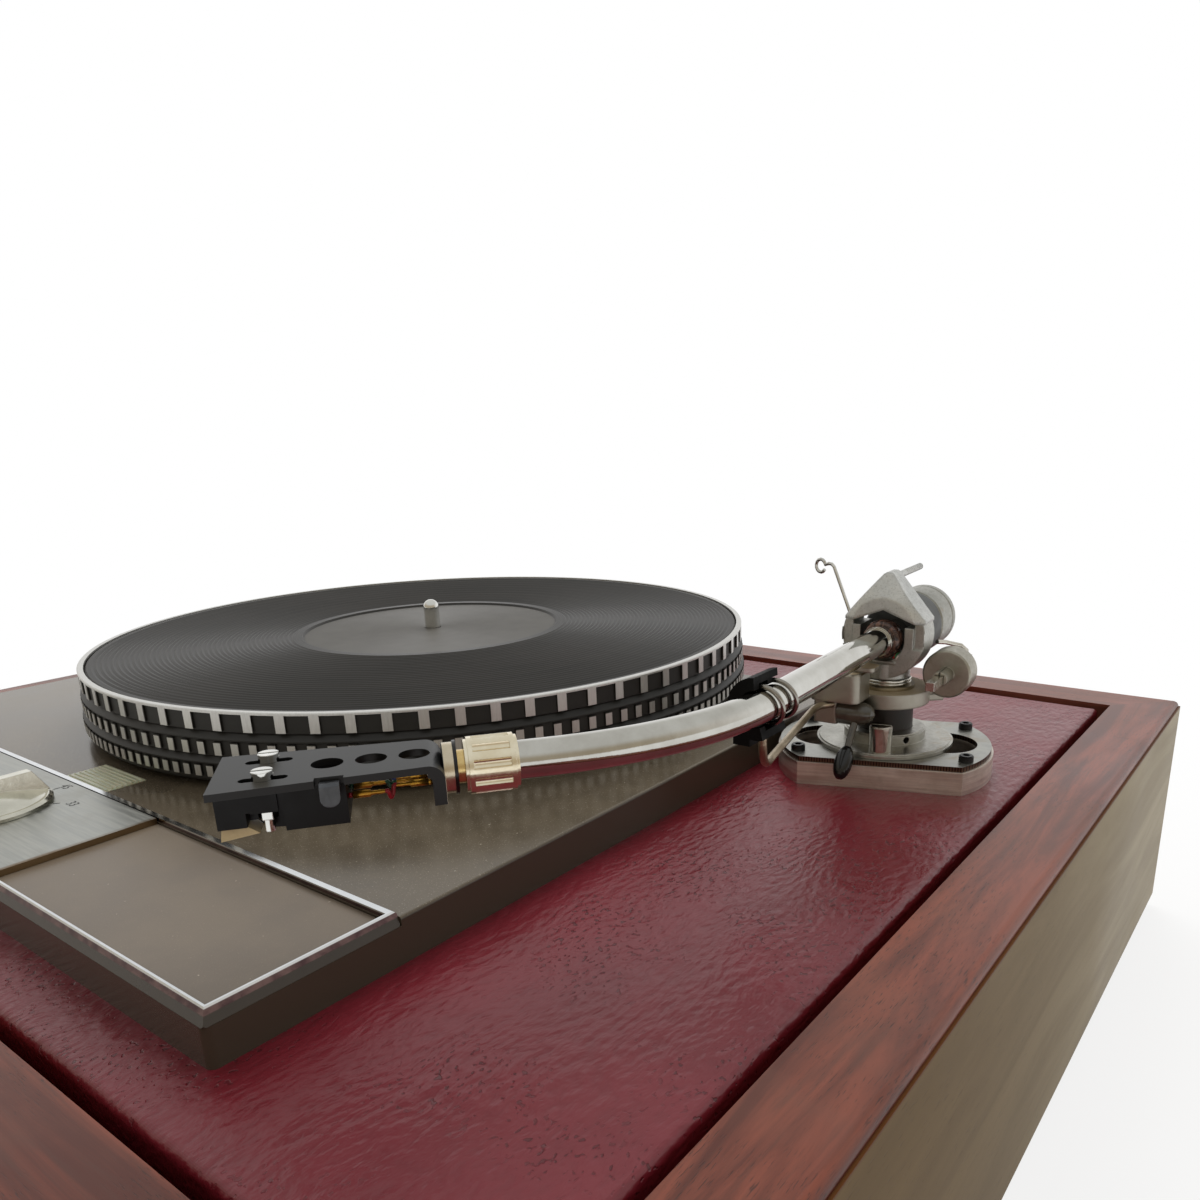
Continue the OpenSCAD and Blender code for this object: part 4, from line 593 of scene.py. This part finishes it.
def dress_all():
    """Materials for every CAD node but the two that are replaced."""
    dress(mahogany("mahogany_front", True), "plinth_front", "plinth_back")
    dress(mahogany("mahogany_side", False), "plinth_left", "plinth_right")
    dress(pale_veneer(), "side_veneers")
    dress(plywood(), "base_board", "corner_blocks", "top_board")
    # The deck's upright faces get a painted shade.
    deck = painted("deck_enamel", rgb(82, 73, 60), rgb(96, 86, 71), 0.2, 0.45, sides=rgb(70, 62, 52))
    dress(deck, "deck_plate")
    dress(painted("panel_enamel", rgb(104, 92, 79), rgb(116, 104, 90), 0.34, 0.2), "blank_plate")
    dress(shell_enamel(), "headshell")
    black = painted("black_enamel", rgb(10, 10, 11), rgb(20, 20, 21), 0.36, gloss=0.4)
    dress(black, "bed_screws", "brake_magnet")
    dress(pillar_finish(), "pillar")
    dress(polished_trim(), "panel_trim")
    dress(satin_plate(), "control_plate")
    turned = metal("turned_knob", rgb(204, 202, 190), rgb(226, 224, 212), 0.14)
    dress(turned, "speed_knob", "power_knob", "fine_knob")
    dress(strobe_platter(), "platter")
    dress(grooved_mat(), "platter_mat")
    dress(strobe_lens(), "strobe_window")
    dress(plastic("lamp_glass", rgb(190, 120, 70), rgb(226, 160, 110), 0.2), "strobe_lamp")
    dress(metal("polished_spindle", rgb(214, 214, 210), rgb(232, 232, 228), 0.07), "spindle", "shell_screws")
    bright = metal("bright_steel", rgb(184, 180, 170), rgb(214, 210, 200), 0.18, wear=0.35)
    dress(bright, "motor_springs", "idler_arm", "clamp_screw", "bearing_race", "rider_rod")
    dress(metal("cream_rod", rgb(150, 134, 112), rgb(186, 172, 150), 0.36, wear=0.5), "rest_rod")
    dress(metal("spring_wire", rgb(140, 136, 128), rgb(178, 174, 166), 0.22, wear=0.3), "rest_clip")
    dress(metal("guide_wire", rgb(196, 194, 188), rgb(220, 218, 212), 0.16), "thread_guide")
    dress(metal("chrome", rgb(190, 188, 181), rgb(204, 203, 197), 0.045, wear=0.05), "arm_tube")
    dress(metal("warm_chrome", rgb(232, 220, 192), rgb(244, 236, 214), 0.2), "locking_collar")
    cast = metal("hood_casting", rgb(192, 193, 190), rgb(210, 210, 206), 0.44, sandy=CAST_GRAIN, soft=1.6)
    dress(cast, "hood")
    grey = (rgb(166, 166, 160), rgb(190, 189, 183))
    dress(metal("satin_casting", *grey, 0.42, wear=0.3, sandy=CAST_GRAIN, soft=0.8), "yoke")
    dress(casting_painted_top(), "lift_bracket", "lift_rail")
    grey = (rgb(158, 154, 142), rgb(180, 176, 164))
    dress(metal("rider_metal", *grey, 0.42, wear=0.4, stain=rgb(134, 110, 78), soft=0.6), "rider_weight")
    grey = (rgb(160, 158, 150), rgb(186, 184, 176))
    dress(metal("satin_aluminium", *grey, 0.36, wear=0.5, stain=rgb(150, 124, 86), soft=0.5), "arm_base")
    grey = (rgb(146, 145, 137), rgb(166, 165, 157))
    dress(metal("weight_metal", *grey, 0.4, wear=0.35, stain=rgb(146, 120, 84), soft=0.6), "counterweight")
    dress(bed_metal(), "bed_plate")
    pale = (rgb(220, 210, 200), rgb(238, 230, 222))
    dress(metal("brushed_spacer", *pale, 0.5, (0.04, 0.04, 1), wear=0.15), "arm_spacer")
    dress(plastic("bronzed_lever", rgb(62, 58, 50), rgb(82, 77, 66), 0.22, 0.8), "lift_lever")
    dress(metal("brass", rgb(176, 136, 66), rgb(206, 168, 92), 0.25), "motor_rotor")
    dress(metal("cast_metal", rgb(84, 84, 82), rgb(108, 108, 104), 0.6), "bearing_housing", "motor_body")
    dress(metal("grey_tongue", rgb(88, 90, 94), rgb(110, 112, 116), 0.4), "finger_lift")
    glossy = plastic("black_plastic", rgb(5, 5, 5), rgb(11, 11, 11), 0.36, 0.25)
    dress(glossy, "cartridge", "mains_switch")
    dress(plastic("black_rest", rgb(5, 5, 5), rgb(10, 10, 10), 0.62, 0.12), "rest_cradle")
    dress(plastic("black_grip", rgb(9, 9, 10), rgb(16, 16, 17), 0.16), "lever_grip")
    dress(plastic("ivory_guard", rgb(196, 176, 134), rgb(214, 196, 156), 0.45), "stylus_guard")
    dress(plastic("brown_resin", rgb(58, 40, 34), rgb(84, 58, 48), 0.24), "tube_ferrule")
    dress(plastic("grey_rubber", rgb(66, 68, 68), rgb(82, 84, 83), 0.5), "decoupler")
    dress(plastic("black_rubber", rgb(18, 18, 18), rgb(30, 30, 29), 0.7), "rubber_feet", "idler_wheel")


def add_piece(name, mesh, body, *materials):
    """Puts a finished mesh into the scene, riding on a body."""
    for material in materials:
        mesh.materials.append(material)
    piece = bpy.data.objects.new(name, mesh)
    bpy.context.scene.collection.objects.link(piece)
    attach(piece, body)
    return piece


def tube(bm, path, radii, slot=0, sides=12):
    """Adds a round tube along a path, one radius for each point, closed at both ends."""
    rings = []
    side = None
    for i, point in enumerate(path):
        ahead = (path[min(i + 1, len(path) - 1)] - path[max(i - 1, 0)]).normalized()
        if side is None:
            side = ahead.orthogonal().normalized()
        side = (side - ahead * side.dot(ahead)).normalized()
        other = ahead.cross(side)
        turns = [math.tau * k / sides for k in range(sides)]
        ring = [bm.verts.new(point + (side * math.cos(a) + other * math.sin(a)) * radii[i]) for a in turns]
        rings.append(ring)
    for one, two in zip(rings, rings[1:]):
        for k in range(sides):
            face = bm.faces.new((one[k], one[(k + 1) % sides], two[(k + 1) % sides], two[k]))
            face.smooth = True
            face.material_index = slot
    for ring in (rings[0][::-1], rings[-1]):
        bm.faces.new(ring).material_index = slot


def smooth_path(points, steps=6):
    """A smooth curve through the points."""
    ends = [2 * points[0] - points[1]] + list(points) + [2 * points[-1] - points[-2]]
    path = []
    for a, b, c, d in zip(ends, ends[1:], ends[2:], ends[3:]):
        for k in range(steps):
            t = k / steps
            square = (2 * a - 5 * b + 4 * c - d) * t**2
            cube = (3 * b - a - 3 * c + d) * t**3
            path.append(0.5 * (2 * b + (c - a) * t + square + cube))
    return path + [points[-1]]


def make_leads():
    """Four short leads from the cartridge to the plug, with a gilded sleeve and crimp at both ends."""
    rear, front = lead_span()

    def at(along, side, up):
        return SHELL_AT + SHELL_FRONT * along + SHELL_SIDE * (side * MM) + UP * (up * MM)

    bm = bmesh.new()
    # Pin's side and height, plug's side and height, colour, bow of the lead
    rows = (
        (-4.6, 0.4, -2.4, 1.2, 3, 2.6),
        (-1.6, -2.5, -1.5, -2.6, 4, -1.0),
        (1.8, 0.4, 1.2, -0.6, 2, 1.6),
        (4.6, -2.5, 2.6, -2.0, 1, -2.2),
    )
    for side, up, plug_side, plug_up, slot, bow in rows:
        # End, way it points, side, height, radii along it and colour of the root of each sleeve
        sleeves = (
            (front, -1, side, up, (0.62, 0.62, 0.95, 0.95, 0.62, 0.5, 0.62, 0.5, 0.45), slot),
            (rear, 1, plug_side, plug_up, (0.95, 0.95, 0.95, 0.95, 0.6, 0.5, 0.62, 0.5, 0.45), 0),
        )
        tips = []
        for end, way, a_side, a_up, radii, root in sleeves:
            places = (0.05, 0.9, 1.0, 5.0, 5.2, 6.6, 6.9, 8.2, 9.0)
            path = [at(end + way * x * MM, a_side, a_up) for x in places]
            tube(bm, path[:2], [r * MM for r in radii[:2]], root)
            tube(bm, path[2:], [r * MM for r in radii[2:]], 0)
            tips.append(path[-1])
        one, two = tips
        middle = (one + two) / 2
        hang = [
            one + SHELL_FRONT * 0.6 * MM,
            one,
            one.lerp(middle, 0.5) + UP * (bow * 0.8 * MM),
            middle + UP * (bow * MM),
            two.lerp(middle, 0.5) + UP * (bow * 0.7 * MM),
            two,
            two - SHELL_FRONT * 0.6 * MM,
        ]
        path = smooth_path(hang)
        tube(bm, path, [LEAD_R] * len(path), slot, 10)
    mesh = bpy.data.meshes.new("head_leads")
    bm.to_mesh(mesh)
    bm.free()
    tones = (
        lead_material("gilt", rgb(150, 100, 24), rgb(214, 168, 70), 0.85),
        lead_material("red_lead", rgb(132, 14, 28), rgb(164, 26, 40), 0.0),
        lead_material("blue_lead", rgb(24, 44, 104), rgb(40, 66, 136), 0.0),
        lead_material("crimson_lead", rgb(136, 16, 34), rgb(168, 30, 48), 0.0),
        lead_material("green_lead", rgb(18, 62, 44), rgb(32, 88, 60), 0.0),
    )
    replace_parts(add_piece("head_leads", mesh, "arm", *tones), "lead_wires")


def make_barrel():
    """Mottled resin barrel that joins the tube to the bearing."""
    bm = bmesh.new()
    start = Vector((PILLAR.x, PILLAR.y, TUBE_Z))
    # Distance along the arm and radius, in millimetres
    profile = ((4.3, 5.4), (4.3, 6.9), (4.7, 7.2), (6.0, 7.35), (8.0, 7.35))
    profile += ((9.2, 7.1), (9.9, 6.5), (10.2, 5.9), (10.2, 5.3))
    sides = 48
    turns = [math.tau * k / sides for k in range(sides)]
    spokes = [ARM_RIGHT * math.cos(a) + UP * math.sin(a) for a in turns]
    rings = []
    for u, r in profile:
        point = start + ARM_FRONT * (u * MM)
        rings.append([bm.verts.new(point + spoke * (r * MM)) for spoke in spokes])
    for one, two in zip(rings, rings[1:] + rings[:1]):
        for k in range(sides):
            after = (k + 1) % sides
            bm.faces.new((one[k], one[after], two[after], two[k])).smooth = True
    bmesh.ops.recalc_face_normals(bm, faces=bm.faces)
    mesh = bpy.data.meshes.new("resin_barrel")
    bm.to_mesh(mesh)
    bm.free()
    s = Shader("mottled_resin", roughness=0.22)
    mottle = s.noise(s.place, 420, 5, 0.7, 0.8)
    s.set("base_color", s.mix(s.steps(mottle, 0.42, 0.62), rgb(40, 26, 22), rgb(118, 86, 74)))
    s.set("normal", s.relief(mottle, 0.06 * MM, 0.4))
    add_piece("resin_barrel", mesh, "arm", s.material)


def make_hide():
    """The hide that is stretched over the board: the outer skin of its solid."""
    solid = NODES["leather_cover"]
    low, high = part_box("leather_cover")
    bm = bmesh.new()
    bm.from_mesh(solid.data)
    edge = 0.05 * MM

    def outside(face):
        middle = face.calc_center_median()
        rim = min(middle.x - low.x, high.x - middle.x, middle.y - low.y, high.y - middle.y)
        return face.normal.z > 0.05 or (abs(face.normal.z) <= 0.05 and rim < edge)

    bmesh.ops.delete(bm, geom=[face for face in bm.faces if not outside(face)], context="FACES")
    for face in bm.faces:
        face.smooth = False
    mesh = bpy.data.meshes.new("leather_hide")
    bm.to_mesh(mesh)
    area = sum(face.calc_area() for face in bm.faces)
    bm.free()
    hide = add_piece("leather_hide", mesh, "plinth", burgundy_leather().material)
    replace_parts(hide, "leather_cover")


def make_numerals():
    """Speeds beside the speed knob, as plain numbers."""
    bm = bmesh.new()
    for words, x, y in NUMERALS:
        curve = bpy.data.curves.new("numeral", "FONT")
        curve.body = words
        curve.size = NUMERAL_SIZE
        curve.align_x = "CENTER"
        curve.align_y = "CENTER"
        curve.extrude = NUMERAL_HALF
        text = bpy.data.objects.new("numeral", curve)
        bpy.context.scene.collection.objects.link(text)
        bpy.context.view_layer.update()
        shape = bpy.data.meshes.new_from_object(text.evaluated_get(bpy.context.evaluated_depsgraph_get()))
        shape.transform(Matrix.Translation((SPINDLE.x + x * MM, SPINDLE.y + y * MM, PANEL_Z + NUMERAL_RISE)))
        bm.from_mesh(shape)
        bpy.data.objects.remove(text)
        bpy.data.curves.remove(curve)
    mesh = bpy.data.meshes.new("dial_numerals")
    bm.to_mesh(mesh)
    bm.free()
    ink = plastic("numeral_ink", rgb(26, 25, 24), rgb(42, 40, 38), 0.5)
    add_piece("dial_numerals", mesh, "plinth", ink.material)


def make_yoke_leads():
    """Fine leads that loop from the tube into the yoke, under the knife edge."""
    foot = Vector((PILLAR.x, PILLAR.y, LEATHER_Z))

    def at(u, v, z):
        return foot + ARM_FRONT * (u * MM) + ARM_RIGHT * (v * MM) + UP * (z * MM)

    bm = bmesh.new()
    # Colour, side and drop of each loop
    loops = ((0, 5.6, 0.0), (1, 6.1, 0.35), (2, 6.6, -0.3), (3, 5.2, 0.2))
    for slot, v, drop in loops:
        points = [
            at(2.5, v - 1.5, 46.0),
            at(5.5, v - 1.2, 45.6 + drop),
            at(8.4, v - 0.6, 46.0 + drop),
            at(7.6, v, 47.2 + drop),
            at(4.5, v + 0.2, 47.4),
        ]
        path = smooth_path(points)
        tube(bm, path, [FINE_LEAD_R] * len(path), slot, 8)
    mesh = bpy.data.meshes.new("yoke_leads")
    bm.to_mesh(mesh)
    bm.free()
    tones = (
        lead_material("fine_red", rgb(150, 20, 24), rgb(186, 40, 40), 0.0),
        lead_material("fine_green", rgb(30, 92, 50), rgb(50, 120, 70), 0.0),
        lead_material("fine_white", rgb(190, 186, 176), rgb(220, 216, 206), 0.0),
        lead_material("fine_black", rgb(16, 16, 18), rgb(30, 30, 32), 0.0),
    )
    add_piece("yoke_leads", mesh, "yoke", *tones)


def make_floor():
    """Pale floor that keeps a soft shadow near the object and runs out to white."""
    mesh = bpy.data.meshes.new("floor")
    signs = ((-1, -1), (1, -1), (1, 1), (-1, 1))
    corners = [(x * FLOOR_REACH, y * FLOOR_REACH, 0) for x, y in signs]
    mesh.from_pydata(corners, [], [(0, 1, 2, 3)])
    floor = bpy.data.objects.new("floor", mesh)
    bpy.context.scene.collection.objects.link(floor)
    s = Shader("floor", roughness=0.9)
    s.set("base_color", s.mix(s.noise(s.place, 3, 3), rgb(236, 235, 233), rgb(242, 241, 239)))
    glow = s.add("ShaderNodeEmission")
    glow.inputs["Color"].default_value = (1, 1, 1, 1)
    far = s.steps(s.radius(s.place), 0.3, 0.62, 0.82, 1.0)
    path = s.add("ShaderNodeLightPath")
    seen = s.calc("MAXIMUM", path.outputs["Is Camera Ray"], path.outputs["Is Glossy Ray"])
    seen = s.calc("MAXIMUM", seen, path.outputs["Is Transmission Ray"])
    blend = s.add("ShaderNodeMixShader")
    s.feed(blend.inputs[0], s.calc("MULTIPLY", far, seen))
    s.feed(blend.inputs[1], s.bsdf.outputs[0])
    s.feed(blend.inputs[2], glow.outputs[0])
    s.feed(s.tree.nodes["Material Output"].inputs["Surface"], blend.outputs[0])
    mesh.materials.append(s.material)


def make_light():
    """Soft studio: white behind the object, dimmer above, warm on the viewer's side, and one large lamp."""
    world = bpy.data.worlds.new("studio")
    bpy.context.scene.world = world
    world.use_nodes = True
    tree = world.node_tree
    tree.nodes.clear()
    link = tree.links.new
    direction = tree.nodes.new("ShaderNodeTexCoord").outputs["Generated"]

    def toward(x, y, z, low, high):
        """From 0 to 1 as the direction turns toward (x, y, z)."""
        dot = tree.nodes.new("ShaderNodeVectorMath")
        dot.operation = "DOT_PRODUCT"
        link(direction, dot.inputs[0])
        dot.inputs[1].default_value = Vector((x, y, z)).normalized()
        span = tree.nodes.new("ShaderNodeMapRange")
        span.interpolation_type = "SMOOTHSTEP"
        link(dot.outputs["Value"], span.inputs["Value"])
        span.inputs["From Min"].default_value = low
        span.inputs["From Max"].default_value = high
        return span.outputs["Result"]

    def blend_colour(factor, a, b):
        node = tree.nodes.new("ShaderNodeMix")
        node.data_type = "RGBA"
        link(factor, node.inputs[0])
        for socket, value in ((node.inputs[6], a), (node.inputs[7], b)):
            if isinstance(value, tuple):
                socket.default_value = value
            else:
                link(value, socket)
        return node.outputs[2]

    room = blend_colour(toward(-0.3, 0.95, 0.0, -0.4, 0.75), ROOM_NEAR, ROOM_BEHIND)
    room = blend_colour(toward(0, 0, 1, 0.25, 0.75), room, ROOM_ABOVE)
    studio = tree.nodes.new("ShaderNodeBackground")
    link(room, studio.inputs["Color"])
    white = tree.nodes.new("ShaderNodeBackground")
    white.inputs["Color"].default_value = (1, 1, 1, 1)
    path = tree.nodes.new("ShaderNodeLightPath")
    blend = tree.nodes.new("ShaderNodeMixShader")
    link(path.outputs["Is Camera Ray"], blend.inputs[0])
    link(studio.outputs[0], blend.inputs[1])
    link(white.outputs[0], blend.inputs[2])
    link(blend.outputs[0], tree.nodes.new("ShaderNodeOutputWorld").inputs["Surface"])

    lamp = bpy.data.lights.new("key", "AREA")
    lamp.shape = "DISK"
    lamp.size = KEY_SIZE
    lamp.energy = KEY_POWER
    key = bpy.data.objects.new("key", lamp)
    key.location = KEY_AT
    key.rotation_mode = "QUATERNION"
    key.rotation_quaternion = (SPINDLE - key.location).to_track_quat("-Z", "Y")
    key.visible_glossy = False
    bpy.context.scene.collection.objects.link(key)


def make_camera():
    """The photograph's camera."""
    data = bpy.data.cameras.new("camera")
    data.sensor_width = 36.0
    data.lens = CAMERA_FOCAL
    data.shift_x, data.shift_y = CAMERA_SHIFT
    data.clip_start = 0.01
    camera = bpy.data.objects.new("camera", data)
    turn = (
        Matrix.Rotation(math.radians(CAMERA_HEADING), 4, "Z")
        @ Matrix.Rotation(math.radians(CAMERA_PITCH), 4, "X")
        @ Matrix.Rotation(math.radians(CAMERA_ROLL), 4, "Y")
        @ Matrix.Rotation(math.radians(90), 4, "X")
    )
    camera.matrix_world = Matrix.Translation(CAMERA_AT) @ turn
    bpy.context.scene.collection.objects.link(camera)
    bpy.context.scene.camera = camera


make_camera()
dress_all()
make_hide()
make_leads()
make_barrel()
make_yoke_leads()
make_numerals()
make_floor()
make_light()
bpy.context.scene.view_settings.view_transform = "Standard"
